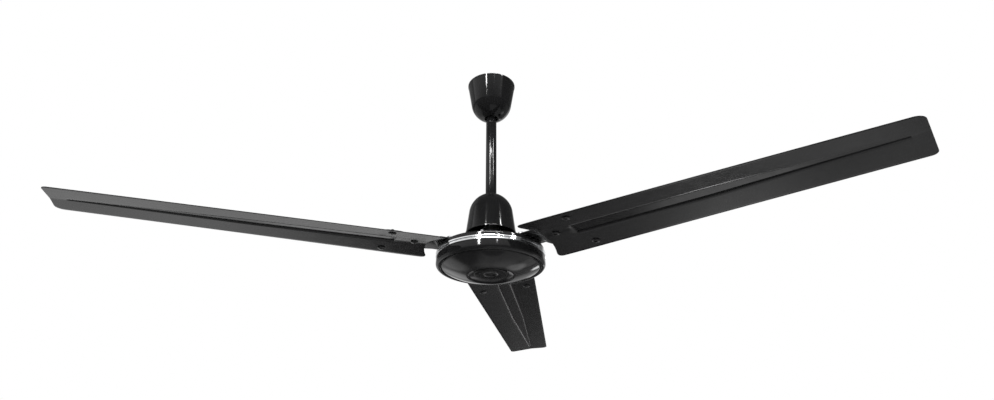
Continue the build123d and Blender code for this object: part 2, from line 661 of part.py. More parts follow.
def hub_cap():
    """Pressed cap in the middle of the bottom cover, with a shallow dimple."""
    base = DECK - RECESS_EDGE + RECESS_DEPTH - SEAT
    face = base - CAP_THICK
    edge = CAP_THICK / 2
    outer = [
        (0, base), (CAP_R, base), (CAP_R, face + edge), (CAP_R - edge, face), (CAP_DIMPLE_R + edge, face),
        (CAP_DIMPLE_R, face + CAP_DIMPLE), (0, face + CAP_DIMPLE),
    ]
    return whole(spun(outer, [], CUP_SIDES))


def round_screw(radius, head_r, head, length):
    """Round-headed screw pointing down from its seat at zero."""
    outer = [
        (0, -length), (radius, -length), (radius, 0), (head_r, 0), (0.7 * head_r, head), (0, head),
    ]
    return spun(outer, [], BOLT_SIDES)


def hex_screw(radius, flats, head, length):
    """Hexagon-headed screw pointing down from its seat at zero."""
    return Pos(0, 0, -length) * bar(radius, length) + extrude(RegularPolygon(flats / 2, 6, major_radius=False), head)


def share_out(radius):
    """How far out a radius lies, from 0 at the blade's root to 1 at its tip."""
    return (radius - BLADE_ROOT_R) / (BLADE_TIP_R - BLADE_ROOT_R)


def fall(radius, t):
    """Slope that the blade's flank falls at from its crease, at a radius and on the side of t."""
    root, tip = (LEAD_FALL_ROOT, LEAD_FALL_TIP) if t < 0 else (TRAIL_FALL_ROOT, TRAIL_FALL_TIP)
    return tan(radians(root)) + (tan(radians(tip)) - tan(radians(root))) * share_out(radius)


def flank(radius, t):
    """Height of the blade's top face over the deck, at a radius and a distance from the crease."""
    crease = -SEAT_DROP - (radius - BRACKET_SEAT_R) * tan(radians(BLADE_DROOP))
    return crease - abs(t) * fall(radius, t)


def half_bend(radius):
    """Half the angle of the blade's bend at a radius."""
    return (atan(fall(radius, -1)) + atan(fall(radius, 1))) / 2


def section_plane(radius):
    """Plane across a blade, with t to the right and height up."""
    return Plane(origin=(radius, 0, DECK), x_dir=(0, 1, 0), z_dir=(1, 0, 0))


def bent_section(radius, lead, trail, low, high):
    """Slice of bent sheet across a blade, from low to high over the blade's top face."""
    reach = BEND_R * tan(half_bend(radius))
    sag = BEND_R * (1 / cos(half_bend(radius)) - 1)

    def line(lift):
        left, right = (-reach, flank(radius, -reach) + lift), (reach, flank(radius, reach) + lift)
        return (
            (-lead, flank(radius, -lead) + lift), left, (0, flank(radius, 0) - sag + lift), right,
            (trail, flank(radius, trail) + lift),
        )

    lower, upper = line(low), line(high)
    edges = []
    for run in (lower, upper):
        edges += [Line(run[0], run[1]), ThreePointArc(run[1], run[2], run[3]), Line(run[3], run[4])]
    edges += [Line(lower[0], upper[0]), Line(lower[4], upper[4])]
    return section_plane(radius) * make_face(Curve() + edges)


def edge_t(radius, root, tip):
    """Distance of a blade's edge from its crease line at a radius."""
    return root + (tip - root) * share_out(radius)


def root_corner(root, tip):
    """Radius at which a blade's side meets the round cut of its root."""
    slope = (tip - root) / (BLADE_TIP_R - BLADE_ROOT_R)
    base = root - slope * BLADE_ROOT_R
    half = base * slope / (1 + slope**2)
    return -half + sqrt(half**2 - (base**2 - BLADE_ROOT_R**2) / (1 + slope**2))


def blade_outline():
    """Plan of a blade: round-cut root, straight sides and rounded corners."""
    lead_r = root_corner(LEAD_ROOT, LEAD_TIP)
    trail_r = root_corner(TRAIL_ROOT, TRAIL_TIP)
    lead_root = (lead_r, -edge_t(lead_r, LEAD_ROOT, LEAD_TIP))
    trail_root = (trail_r, edge_t(trail_r, TRAIL_ROOT, TRAIL_TIP))
    plan = make_face(Curve() + [
        ThreePointArc(lead_root, (BLADE_ROOT_R, 0), trail_root),
        Polyline(trail_root, (BLADE_TIP_R, TRAIL_TIP), (BLADE_TIP_R, -LEAD_TIP), lead_root),
    ])
    corners = plan.vertices().sort_by(Axis.X)
    tips = corners[2:].sort_by(Axis.Y)
    plan = fillet(corners[:2], ROOT_CORNER)
    tips = plan.vertices().sort_by(Axis.X)[-2:].sort_by(Axis.Y)
    plan = fillet(tips[0], LEAD_TIP_CORNER)
    trail_tip = plan.vertices().sort_by(Axis.Y).filter_by(lambda v: abs(v.Y - TRAIL_TIP) < 1e-6)[0]
    return flattened(fillet(trail_tip, TRAIL_TIP_CORNER))


def rib_loft(start, end, side_gap, low, high):
    """Tapered rib along the crease. Its foot follows the flanks and its top is flat across."""
    sections = []
    steps = ((start, 0, 0.1), (start + 2 * RIB_SLOPE, 0, 1), (end - 4 * RIB_SLOPE, 1, 1), (end, 1, 0.1))
    for radius, share, rise in steps:
        middle = RIB_ROOT_T + (RIB_TIP_T - RIB_ROOT_T) * share
        half = (RIB_ROOT_WIDTH + (RIB_TIP_WIDTH - RIB_ROOT_WIDTH) * share) / 2 + side_gap
        left, right = middle - half, middle + half
        top = low + (high - low) * rise
        sections.append(section_plane(radius) * make_face(Polyline(
            (left, flank(radius, left) + low), (right, flank(radius, right) + low),
            (right - RIB_SLOPE, flank(radius, right - RIB_SLOPE) + top),
            (left + RIB_SLOPE, flank(radius, left + RIB_SLOPE) + top), close=True,
        )))
    return loft(sections, ruled=True)


def blade():
    """One blade along X: bent, twisted sheet with a pressed tapering rib."""
    inner = 0.8 * BLADE_ROOT_R
    spare = 10.0
    sections = [
        bent_section(inner, LEAD_ROOT + spare, TRAIL_ROOT + spare, -BLADE_THICK, 0),
        bent_section(BLADE_TIP_R + spare, LEAD_ROOT + spare, TRAIL_ROOT + spare, -BLADE_THICK, 0),
    ]
    sheet = loft(sections, ruled=True)
    prism = Pos(0, 0, DECK - TALL) * extrude(blade_outline(), 2 * TALL)
    sheet &= prism
    sheet += rib_loft(RIB_START - 1, RIB_END + 1, BLADE_THICK, -BLADE_THICK / 2, RIB_HEIGHT)
    sheet -= rib_loft(RIB_START, RIB_END, 0, -2 * BLADE_THICK, RIB_HEIGHT - BLADE_THICK)
    for radius, t in blade_screw_spots():
        sheet -= flank_place(radius, t) * Pos(0, 0, -6) * bar(BLADE_SCREW_R + HOLE_GAP, 12, touch=True)
    return whole(sheet)


def blade_screw_spots():
    """The three screws of a blade, as radius and distance from the crease."""
    return ((BLADE_SCREW_R1, 0), (BLADE_SCREW_R2, -LEAD_SCREW_T), (BLADE_SCREW_R2, TRAIL_SCREW_T))


def bracket_plan():
    """Plan of a bracket: straight neck on the deck and two wings over the blade."""
    flare = BLADE_SCREW_R1 - 2 * BRACKET_CORNER
    shoulder = BLADE_SCREW_R2 - 12
    points = [(0, -BRACKET_NECK), (flare, -BRACKET_NECK), (shoulder, -BRACKET_WING), (BRACKET_OUT_R, -BRACKET_WING)]
    points += [(radius, -t) for radius, t in reversed(points)]
    plan = make_face(Polyline(*points, close=True)) - Circle(BRACKET_IN_R)
    wings = plan.vertices().filter_by(lambda v: v.X > flare + 1)
    plan = fillet(wings, BRACKET_CORNER)
    reach = BRACKET_OUT_R + BRACKET_MARGIN
    start = BLADE_SCREW_R1 + BRACKET_MARGIN
    mouth = (RIB_ROOT_WIDTH / 2 + NOTCH_GAP) * 1.8
    notch = make_face(Polyline((start, -10), (reach, -mouth), (reach, mouth), (start, 10), close=True))
    return flattened(plan - notch)


def blade_bracket():
    """One bracket along X: flat on the deck, then bent to the blade's two flanks."""
    wide = BRACKET_WING + 10
    flat = []
    for radius in (BRACKET_IN_R - 10, BRACKET_FLAT_R):
        flat.append(section_plane(radius) * make_face(Polyline(
            (-wide, 0), (0, 0), (wide, 0), (wide, BRACKET_THICK), (0, BRACKET_THICK), (-wide, BRACKET_THICK), close=True
        )))
    bent = []
    for radius in (BRACKET_SEAT_R, BRACKET_OUT_R + 10):
        low = [(t, flank(radius, t) + (0 if t else SEAT / 2)) for t in (-wide, 0, wide)]
        high = [(t, z + BRACKET_THICK) for t, z in reversed(low)]
        bent.append(section_plane(radius) * make_face(Polyline(*low, *high, close=True)))
    plate = loft(flat, ruled=True) + loft([flat[1], bent[0]], ruled=True) + loft(bent, ruled=True)
    plate &= Pos(0, 0, DECK - TALL) * extrude(bracket_plan(), 2 * TALL)
    for side in (-1, 1):
        spot = Pos(DECK_SCREW_R, side * DECK_SCREW_T, DECK - 1)
        plate -= spot * bar(BLADE_SCREW_R + HOLE_GAP, 2 * BRACKET_THICK, touch=True)
    for radius, t in blade_screw_spots():
        plate -= flank_place(radius, t) * Pos(0, 0, -6) * bar(BLADE_SCREW_R + RUN, 12, touch=True)
    return whole(plate)


def flank_place(radius, t):
    """Place on the blade's top face, tilted to its slope. On the crease the tilt is midway."""
    across = degrees(atan((flank(radius, t + 1) - flank(radius, t - 1)) / 2))
    outward = degrees(atan(flank(radius, t) - flank(radius + 1, t)))
    return Pos(radius, t, DECK + flank(radius, t)) * Rot(across, outward, 0)


def blade_screws():
    """Screws that come up through each blade into its bracket's tapped holes."""
    screws = []
    for turn in blade_places():
        for radius, t in blade_screw_spots():
            sink = 2 * SEAT if t else 2 * SEAT + SCREW_HEAD_R * tan(half_bend(radius))
            length = sink + BLADE_THICK + BRACKET_THICK + BLADE_SCREW_R
            screw = Rot(180, 0, 0) * round_screw(BLADE_SCREW_R, SCREW_HEAD_R, SCREW_HEAD, length)
            screws.append(turn * flank_place(radius, t) * Pos(0, 0, -BLADE_THICK - sink) * screw)
    return group(screws)


def deck_screws():
    """Screws that hold the brackets to the deck."""
    screw = hex_screw(BLADE_SCREW_R, DECK_SCREW_FLATS, DECK_SCREW_HEAD, BRACKET_THICK + DECK_SCREW_DEPTH)
    seats = []
    for turn in blade_places():
        for side in (-1, 1):
            seats.append(turn * Pos(DECK_SCREW_R, side * DECK_SCREW_T, DECK + BRACKET_THICK) * screw)
    return group(seats)


def cover_screws():
    """Long screws through the upper cover and the rotor core into the lower cover."""
    screw = hex_screw(SCREW_R, 3.5 * SCREW_R, 1.4 * SCREW_R, CORE_TOP + CORE_HEIGHT + SCREW_BITE)
    return group([place * Pos(0, 0, DECK) * screw for place in screw_places()])


os.makedirs("parts", exist_ok=True)

export(ceiling_bracket(), "ceiling_bracket")
export(rubber_roller(), "rubber_roller")
hanger = cross_bolt("x", LEG_X + LEG_THICK)
for shape, name in zip(hanger, ("hanger_bolt", "hanger_nut", "hanger_split_pin")):
    export(Pos(0, 0, HANGER_Z) * shape, name)
export(shackle(), "shackle")
upper_joint = cross_bolt("y", COUPLING_R)
lower_joint = cross_bolt("x", COUPLING_R)
for high, low, name in zip(upper_joint, lower_joint, ("pipe_bolts", "pipe_nuts", "pipe_split_pins")):
    export(group([Pos(0, 0, CLEVIS_Z) * high, Pos(0, 0, ROD_BOTTOM + COUPLING_BOLT_UP) * low]), name)
export(downrod(), "downrod")

canopy, canopy_neck = cup(
    CANOPY_RIM_R, CANOPY_STRAIGHT, CANOPY_TAPER, CANOPY_ARC, CANOPY_WALL, CANOPY_HOLE_R, CANOPY_NECK_WALL, CANOPY_NECK
)
canopy, canopy_screw = cup_with_screw(canopy, canopy_neck, CANOPY_NECK)
canopy_place = Pos(0, 0, CANOPY_RIM) * Rot(0, 0, -30)
export(canopy_place * canopy, "upper_canopy")
export(canopy_place * canopy_screw, "upper_canopy_screw")

bell_hole = ROD_R + 2 * RUN
bell, bell_neck = cup(BELL_RIM_R, BELL_STRAIGHT, BELL_TAPER, BELL_ARC, BELL_WALL, bell_hole, BELL_NECK_WALL, BELL_NECK)
bell, bell_screw = cup_with_screw(bell, bell_neck, BELL_NECK)
bell_place = Pos(0, 0, BELL_RIM) * Rot(180, 0, 0) * Rot(0, 0, -90)
export(bell_place * bell, "lower_canopy")
export(bell_place * bell_screw, "lower_canopy_screw")

export(coupling(), "shaft_coupling")
export(coupling_set_screw(), "coupling_set_screw")
for shape, name in zip(capacitor_and_clip(), ("capacitor", "capacitor_clip")):
    export(shape, name)

export(motor_shaft(), "motor_shaft")
export(shaft_circlip(), "shaft_circlip")
export(stator_core(), "stator_core")
export(stator_windings(), "stator_windings")
upper = bearing(SHAFT_R, UPPER_OUT_R, UPPER_BEARING_BOTTOM, UPPER_WIDTH)
lower = bearing(SHAFT_LOWER_R, LOWER_OUT_R, LOWER_BEARING_BOTTOM, LOWER_WIDTH)
for shapes, end in ((upper, "upper"), (lower, "lower")):
    for shape, name in zip(shapes, ("inner_race", "ball_set", "outer_race")):
        export(shape, f"{end}_{name}")
preload = ring(UPPER_OUT_R - SEAT, UPPER_OUT_R - RACE_WALL, POCKET_TOP - WASHER_THICK, POCKET_TOP, RACE_SIDES)
export(whole(preload), "preload_washer")

export(rotor_core(), "rotor_core")
export(rotor_end_rings(), "rotor_end_rings")
export(upper_cover(), "upper_cover")
export(lower_cover(), "lower_cover")
export(trim_ring(), "trim_ring")
export(hub_cap(), "hub_cap")
export(cover_screws(), "cover_screws")

one_blade, one_bracket = blade(), blade_bracket()
for index, turn in enumerate(blade_places(), start=1):
    export(turn * one_blade, f"blade_{index}")
    export(turn * one_bracket, f"blade_bracket_{index}")
export(blade_screws(), "blade_screws")
export(deck_screws(), "bracket_screws")
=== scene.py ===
import bpy
import json
from math import acos, atan, atan2, cos, pi, radians, sin, sqrt, tan
from mathutils import Matrix, Vector

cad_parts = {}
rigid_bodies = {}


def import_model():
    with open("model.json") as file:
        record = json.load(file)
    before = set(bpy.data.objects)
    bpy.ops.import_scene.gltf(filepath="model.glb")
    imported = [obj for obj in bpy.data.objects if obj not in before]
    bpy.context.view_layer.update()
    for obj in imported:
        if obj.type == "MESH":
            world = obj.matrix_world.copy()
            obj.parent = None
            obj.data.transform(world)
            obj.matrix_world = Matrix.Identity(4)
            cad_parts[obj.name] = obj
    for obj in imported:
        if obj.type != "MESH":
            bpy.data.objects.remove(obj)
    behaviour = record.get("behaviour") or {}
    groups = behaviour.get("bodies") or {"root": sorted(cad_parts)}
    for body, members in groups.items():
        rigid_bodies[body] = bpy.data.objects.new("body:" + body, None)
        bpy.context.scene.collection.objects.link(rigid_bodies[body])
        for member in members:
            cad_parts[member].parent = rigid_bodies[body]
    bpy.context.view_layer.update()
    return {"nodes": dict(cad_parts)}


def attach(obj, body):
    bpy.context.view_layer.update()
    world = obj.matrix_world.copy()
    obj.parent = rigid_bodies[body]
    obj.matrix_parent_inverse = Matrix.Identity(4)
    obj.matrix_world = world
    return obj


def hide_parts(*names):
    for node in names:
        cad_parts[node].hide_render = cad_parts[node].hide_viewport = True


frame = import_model()
nodes = frame["nodes"]

# Millimetres to metres
MM = 0.001

# Heights on the stem, under the ceiling
HANGER_Z = -27.0
CLEVIS_Z = -59.0
ROD_TOP = -47.0
ROD_BOTTOM = -317.0
COUPLING_TOP = -293.0
COUPLING_BOTTOM = -343.0
COUPLING_BOLT_Z = ROD_BOTTOM + 12
DECK = -379.5
CANOPY_RIM = -4.8
BELL_RIM = DECK + 33.1

# Pipe, sleeve and fasteners, with the gap of a seat and the flats of a turned tube
TUBE_SIDES = 96
SEAT_GAP = 0.1
ROD_R = 10.65
ROD_WALL = 2.3
COUPLING_R = 13.95
SHAFT_R = 8.5
M8_R = 4.0
M8_FLATS = 13.0
M8_HEAD = 5.3
M8_NUT = 6.5
M8_PITCH = 1.25
BOLT_TAIL = 13.5
PIN_OFFSET = 9.7
BRACKET_HALF_GRIP = 16.7 + 3.0

# Screws: shank radius, head radius or width over flats, head height and length
BLADE_SCREW = (2.5, 7.0, 2.6, 6.6)
DECK_SCREW = (2.5, 9.0, 4.0, 11.0)
COVER_SCREW = (2.0, 7.0, 2.8, 29.5)
COVER_SCREW_R = 92.0
HEAD_EDGE = 0.9
SCREW_SINK = 0.2

# Canopies: rim radius, straight depth, taper in degrees, bowl radius, hole radius, neck wall and depth
CANOPY = (49.2, 50.5, 9.37, 38.6, 13.6, 2.4, 9.0)
BELL = (48.4, 46.3, 7.75, 45.0, 10.75, 2.4, 10.0)
CUP_WALL = 1.0

# Motor, with heights over the deck
MOTOR_R = 101.8
DECK_R = 100.0
SPIGOT_R = 97.0
HOLLOW_R = 87.0
COVER_WALL = 3.0
UPPER_BORE_R = 10.3
UPPER_POCKET_R = 20.05
LOWER_POCKET_R = 17.55
TRIM_TOP = -7.9
TRIM_BOTTOM = -17.2
TRIM_GROOVE_R = 101.2
TRIM_EDGE_R = 101.75
BEAD_HALF = 2.2
RIM = -34.0
RIM_FILLET = 5.5
RIM_INNER_R = 93.4
DOME_R = 91.0
DOME_BELLY = 2.0
RECESS_R = 43.0
RECESS_EDGE = -49.8
RECESS_FLOOR = -44.2
CAP_FACE = -46.9
CAP_R = 31.0

# Blades, with t across the blade from its crease and positive on the trailing side
BLADE_TURN = -39.45
ROOT_R = 124.0
TIP_R = 711.0
BLADE_THICK = 1.0
LEAD = (67.6, 42.9)
TRAIL = (69.6, 57.3)
LEAD_FALL = (1.45, -2.0)
TRAIL_FALL = (12.15, 7.8)
DROOP = 1.39
BEND_R = 60.0
ROOT_CURVE = 52.0
ROOT_CORNER = 14.0
TIP_CORNERS = (13.0, 9.0)
RIB_R = (181.0, 690.0)
RIB_TAPER_R = 420.0
RIB_LEAD = (-10.5, -1.0)
RIB_TRAIL = (15.5, 4.5)
RIB_HEIGHT = (2.0, 1.1)
RIB_SLOPE = 1.7
RIB_END = 1.8
FOLD_R = 106.0
SEAT_R = 119.0
SEAT_DROP = 0.6
BLADE_SCREWS = ((146.5, 0.0), (197.5, -45.0), (197.5, 49.5))
DECK_SCREWS = ((87.5, -22.0), (87.5, 22.0))
BRACKET_THICK = 3.0


# Surface effects shared by the finishes

def new_group(name, inputs, outputs):
    """Empty shader group with number inputs and the outputs that are named."""
    tree = bpy.data.node_groups.new(name, "ShaderNodeTree")
    tree.interface.new_socket(name="Vector", in_out="INPUT", socket_type="NodeSocketVector")
    for label, value in inputs:
        socket = tree.interface.new_socket(name=label, in_out="INPUT", socket_type="NodeSocketFloat")
        socket.default_value = value
    for label in outputs:
        tree.interface.new_socket(name=label, in_out="OUTPUT", socket_type="NodeSocketFloat")
    return tree, tree.nodes.new("NodeGroupInput"), tree.nodes.new("NodeGroupOutput")


def math_node(tree, operation, first, second=0.5, clamp=False):
    """Maths node, fed by sockets or plain numbers."""
    node = tree.nodes.new("ShaderNodeMath")
    node.operation = operation
    node.use_clamp = clamp
    for socket, value in zip(node.inputs, (first, second)):
        if isinstance(value, (int, float)):
            socket.default_value = value
        else:
            tree.links.new(value, socket)
    return node.outputs[0]


def axis_distance(tree, apart):
    """Distance from the Z axis, from a place split into its coordinates."""
    squares = [math_node(tree, "POWER", apart.outputs[axis], 2.0) for axis in ("X", "Y")]
    return math_node(tree, "POWER", math_node(tree, "ADD", *squares), 0.5)


def stretched(tree, noise, low, high):
    """The middle of a noise's reach stretched to the full one."""
    spread = tree.nodes.new("ShaderNodeMapRange")
    spread.inputs["From Min"].default_value = low
    spread.inputs["From Max"].default_value = high
    tree.links.new(noise.outputs["Fac"], spread.inputs["Value"])
    return spread


def grain_group():
    """Even grain between two values, such as the texture of sprayed paint."""
    values = (("Scale", 900.0), ("Low", 0.2), ("High", 0.3))
    tree, start, end = new_group("Fine grain", values, ("Grain",))
    noise = tree.nodes.new("ShaderNodeTexNoise")
    noise.inputs["Detail"].default_value = 3.0
    tree.links.new(start.outputs["Vector"], noise.inputs["Vector"])
    tree.links.new(start.outputs["Scale"], noise.inputs["Scale"])
    spread = stretched(tree, noise, 0.3, 0.7)
    tree.links.new(start.outputs["Low"], spread.inputs["To Min"])
    tree.links.new(start.outputs["High"], spread.inputs["To Max"])
    tree.links.new(spread.outputs["Result"], end.inputs["Grain"])
    return tree


def wear_group():
    """Faint patches where a finish is rubbed or has dust on it."""
    tree, start, end = new_group("Rubbed patches", (("Scale", 40.0), ("Amount", 0.2)), ("Mask",))
    noise = tree.nodes.new("ShaderNodeTexNoise")
    noise.inputs["Detail"].default_value = 6.0
    noise.inputs["Roughness"].default_value = 0.65
    tree.links.new(start.outputs["Vector"], noise.inputs["Vector"])
    tree.links.new(start.outputs["Scale"], noise.inputs["Scale"])
    spread = stretched(tree, noise, 0.52, 0.75)
    mask = math_node(tree, "MULTIPLY", spread.outputs["Result"], start.outputs["Amount"])
    tree.links.new(mask, end.inputs["Mask"])
    return tree


def brushed_group():
    """Fine lines that run round the Z axis, as a lathe or polishing wheel leaves them."""
    values = (("Scale", 3000.0), ("Low", 0.15), ("High", 0.3))
    tree, start, end = new_group("Turned lines", values, ("Lines",))
    apart = tree.nodes.new("ShaderNodeSeparateXYZ")
    tree.links.new(start.outputs["Vector"], apart.inputs[0])
    profile = tree.nodes.new("ShaderNodeCombineXYZ")
    tree.links.new(axis_distance(tree, apart), profile.inputs["X"])
    tree.links.new(apart.outputs["Z"], profile.inputs["Y"])
    noise = tree.nodes.new("ShaderNodeTexNoise")
    noise.inputs["Detail"].default_value = 2.0
    tree.links.new(profile.outputs[0], noise.inputs["Vector"])
    tree.links.new(start.outputs["Scale"], noise.inputs["Scale"])
    spread = stretched(tree, noise, 0.3, 0.7)
    tree.links.new(start.outputs["Low"], spread.inputs["To Min"])
    tree.links.new(start.outputs["High"], spread.inputs["To Max"])
    tree.links.new(spread.outputs["Result"], end.inputs["Lines"])
    return tree


FINE_GRAIN = grain_group()
RUBBED = wear_group()
TURNED_LINES = brushed_group()


def new_finish(name, metallic, **plain):
    """Material with its shader, and the object coordinates that its patterns follow."""
    finish = bpy.data.materials.new(name)
    finish.use_nodes = True
    tree = finish.node_tree
    shader = tree.nodes["Principled BSDF"]
    shader.inputs["Metallic"].default_value = metallic
    for label, value in plain.items():
        shader.inputs[label.replace("_", " ")].default_value = value
    place = tree.nodes.new("ShaderNodeTexCoord").outputs["Object"]
    return finish, tree, shader, place


def use_group(tree, group, place, **values):
    """One shared effect in a material, with this material's own values."""
    node = tree.nodes.new("ShaderNodeGroup")
    node.node_tree = group
    tree.links.new(place, node.inputs["Vector"])
    for label, value in values.items():
        node.inputs[label].default_value = value
    return node.outputs[0]


def two_colours(tree, shader, mask, first, second):
    """Base colour that goes from the first colour to the second by a mask."""
    mix = tree.nodes.new("ShaderNodeMix")
    mix.data_type = "RGBA"
    mix.inputs["A"].default_value = (*first, 1)
    mix.inputs["B"].default_value = (*second, 1)
    tree.links.new(mask, mix.inputs["Factor"])
    tree.links.new(mix.outputs["Result"], shader.inputs["Base Color"])


def gloss(tree, shader, group, place, scale, low, high):
    """Roughness that varies between two values."""
    grain = use_group(tree, group, place, Scale=scale, Low=low, High=high)
    tree.links.new(grain, shader.inputs["Roughness"])


def relief(tree, shader, height, depth):
    """Bump of a depth in metres."""
    bump = tree.nodes.new("ShaderNodeBump")
    bump.inputs["Strength"].default_value = 1.0
    bump.inputs["Distance"].default_value = depth
    tree.links.new(height, bump.inputs["Height"])
    tree.links.new(bump.outputs["Normal"], shader.inputs["Normal"])


def painted(name, colour, rubbed, rough_low, rough_high, peel):
    """Sprayed black enamel: slight orange peel, uneven gloss and faint rubbed patches."""
    finish, tree, shader, place = new_finish(name, 0.0, Specular_IOR_Level=0.25)
    patches = use_group(tree, RUBBED, place, Scale=18.0, Amount=0.55)
    two_colours(tree, shader, patches, colour, rubbed)
    gloss(tree, shader, FINE_GRAIN, place, 60.0, rough_low, rough_high)
    relief(tree, shader, use_group(tree, FINE_GRAIN, place, Scale=650.0, Low=0.0, High=1.0), peel)
    return finish


def bare_metal(name, colour, worn, rough_low, rough_high, scale, turned=False):
    """Plated or ground metal with its own grain, or lines left by turning."""
    finish, tree, shader, place = new_finish(name, 1.0)
    two_colours(tree, shader, use_group(tree, RUBBED, place, Scale=120.0, Amount=0.8), colour, worn)
    group = TURNED_LINES if turned else FINE_GRAIN
    gloss(tree, shader, group, place, scale, rough_low, rough_high)
    relief(tree, shader, use_group(tree, group, place, Scale=scale, Low=0.0, High=1.0), 6e-6)
    return finish


def banded(name, metallic, light, dark, roughness, pitch, radial):
    """Layers or wire turns: even bands along the radius, or along Z."""
    finish, tree, shader, place = new_finish(name, metallic)
    apart = tree.nodes.new("ShaderNodeSeparateXYZ")
    tree.links.new(place, apart.inputs[0])
    along = apart.outputs["Z"]
    if radial:
        along = axis_distance(tree, apart)
    wave = math_node(tree, "SINE", math_node(tree, "MULTIPLY", along, 2 * pi / (pitch * MM)))
    height = math_node(tree, "MULTIPLY_ADD", wave, 0.5)
    two_colours(tree, shader, height, dark, light)
    gloss(tree, shader, FINE_GRAIN, place, 500.0, roughness - 0.08, roughness + 0.08)
    relief(tree, shader, height, 0.15 * pitch * MM)
    return finish


def moulded(name, colour, rubbed, rough_low, rough_high, depth):
    """Rubber or plastic with a moulded grain."""
    finish, tree, shader, place = new_finish(name, 0.0)
    two_colours(tree, shader, use_group(tree, RUBBED, place, Scale=150.0, Amount=0.7), colour, rubbed)
    gloss(tree, shader, FINE_GRAIN, place, 300.0, rough_low, rough_high)
    relief(tree, shader, use_group(tree, FINE_GRAIN, place, Scale=1800.0, Low=0.0, High=1.0), depth)
    return finish


# Finishes: colour, rubbed colour, lowest and highest roughness, then depth or scale of the grain

def grey(level, blue=0.0):
    """Grey, bluish where blue is above 0."""
    return (level, level, level + blue)


ENAMEL_BLACK = (grey(0.005, 0.0002), grey(0.008, 0.0002))
HOUSING_PAINT = painted("Motor and canopy enamel", *ENAMEL_BLACK, 0.05, 0.1, 3e-6)
BLADE_PAINT = painted("Blade enamel", *ENAMEL_BLACK, 0.14, 0.2, 2e-6)
ROD_PAINT = painted("Pipe enamel", *ENAMEL_BLACK, 0.08, 0.12, 5e-7)
SCREW_ENAMEL = painted("Screw head enamel", grey(0.006, 0.0002), grey(0.01), 0.06, 0.1, 2e-6)
TRIM_METAL = bare_metal(
    "Polished trim", (0.86, 0.87, 0.88), (0.74, 0.75, 0.77), 0.07, 0.14, 2600.0, turned=True)
ZINC = bare_metal("Zinc plated steel", (0.58, 0.59, 0.6), grey(0.4), 0.28, 0.42, 700.0)
DULL_ZINC = bare_metal("Dulled zinc", grey(0.2, 0.005), grey(0.11), 0.3, 0.45, 700.0)
BLACK_SCREW = bare_metal(
    "Blackened screw steel", grey(0.035, 0.002), grey(0.09), 0.24, 0.36, 900.0)
BEARING_METAL = bare_metal(
    "Ground bearing steel", (0.66, 0.67, 0.68), grey(0.5, 0.01), 0.12, 0.22, 2600.0, turned=True)
CAST_ALLOY = bare_metal("Cast alloy", (0.72, 0.73, 0.75), (0.5, 0.51, 0.53), 0.45, 0.6, 500.0)
# Banded finishes: metallic, light and dark colour, roughness, then pitch in millimetres
LAMINATIONS = banded(
    "Steel laminations", 0.8, (0.3, 0.31, 0.33), grey(0.09, 0.01), 0.5, 0.65, radial=False)
COPPER = banded(
    "Enamelled copper wire", 0.9, (0.72, 0.33, 0.13), (0.2, 0.06, 0.02), 0.3, 0.9, radial=True)
# Moulded finishes, in the order of the painted ones
RUBBER = moulded("Roller rubber", grey(0.02), grey(0.05), 0.6, 0.8, 3e-5)
CASE_PLASTIC = moulded("Capacitor case", grey(0.03, 0.004), grey(0.06), 0.4, 0.55, 2e-5)


# Modelling helpers

def begin():
    """Leaves nothing selected, so that an operator acts on the new piece alone."""
    bpy.ops.object.select_all(action="DESELECT")


def finished(piece, name, finish, edge=0.0, angle=35.0):
    """Bevels a piece's edges, smooths it, moves its place into its mesh and names it."""
    begin()
    piece.select_set(True)
    bpy.context.view_layer.objects.active = piece
    bpy.ops.object.transform_apply(location=True, rotation=True, scale=True)
    if edge:
        bevel = piece.modifiers.new("Edges", "BEVEL")
        bevel.width = edge * MM
        bevel.segments = 2
        bevel.limit_method = "ANGLE"
        bevel.angle_limit = radians(angle)
        bpy.ops.object.modifier_apply(modifier="Edges")
    bpy.ops.object.shade_smooth_by_angle(angle=radians(32))
    piece.name = name
    piece.data.materials.clear()
    piece.data.materials.append(finish)
    return piece


def turned(rings, sides=144, closed=True):
    """Shape turned about Z: a circle drawn out ring by ring, then joined to its start or capped."""
    begin()
    radius, height = rings[0]
    fill = "NOTHING" if closed else "NGON"
    bpy.ops.mesh.primitive_circle_add(vertices=sides, radius=radius * MM, fill_type=fill)
    bpy.ops.object.mode_set(mode="EDIT")
    bpy.ops.mesh.select_all(action="SELECT")
    bpy.ops.transform.translate(value=(0, 0, height * MM))
    bpy.ops.mesh.select_mode(type="EDGE")
    for next_radius, next_height in list(rings[1:]) + ([rings[0]] if closed else []):
        rise = (0, 0, (next_height - height) * MM)
        bpy.ops.mesh.extrude_edges_move(TRANSFORM_OT_translate={"value": rise})
        share = next_radius / radius
        bpy.ops.transform.resize(value=(share, share, 1), center_override=(0, 0, next_height * MM))
        radius, height = next_radius, next_height
    if not closed:
        bpy.ops.mesh.edge_face_add()
    bpy.ops.mesh.select_all(action="SELECT")
    bpy.ops.mesh.remove_doubles(threshold=0.004 * MM)
    bpy.ops.mesh.normals_make_consistent(inside=False)
    bpy.ops.mesh.select_mode(type="VERT")
    bpy.ops.object.mode_set(mode="OBJECT")
    return bpy.context.object


def arc(centre, radius, start, end, steps):
    """Points of an arc in a profile, from one angle in degrees to another."""
    angles = [radians(start + (end - start) * step / steps) for step in range(steps + 1)]
    return [(centre[0] + radius * cos(angle), centre[1] + radius * sin(angle)) for angle in angles]


def belong(piece, body, slot, *replaced):
    """The piece rides on its body and stands for its nodes, which it hides; the slot is not used."""
    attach(piece, body)
    if replaced:
        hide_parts(*replaced)
    return piece


def moved(piece, matrix):
    """Puts a place into a piece's mesh."""
    piece.data.transform(matrix)
    piece.data.update()
    return piece


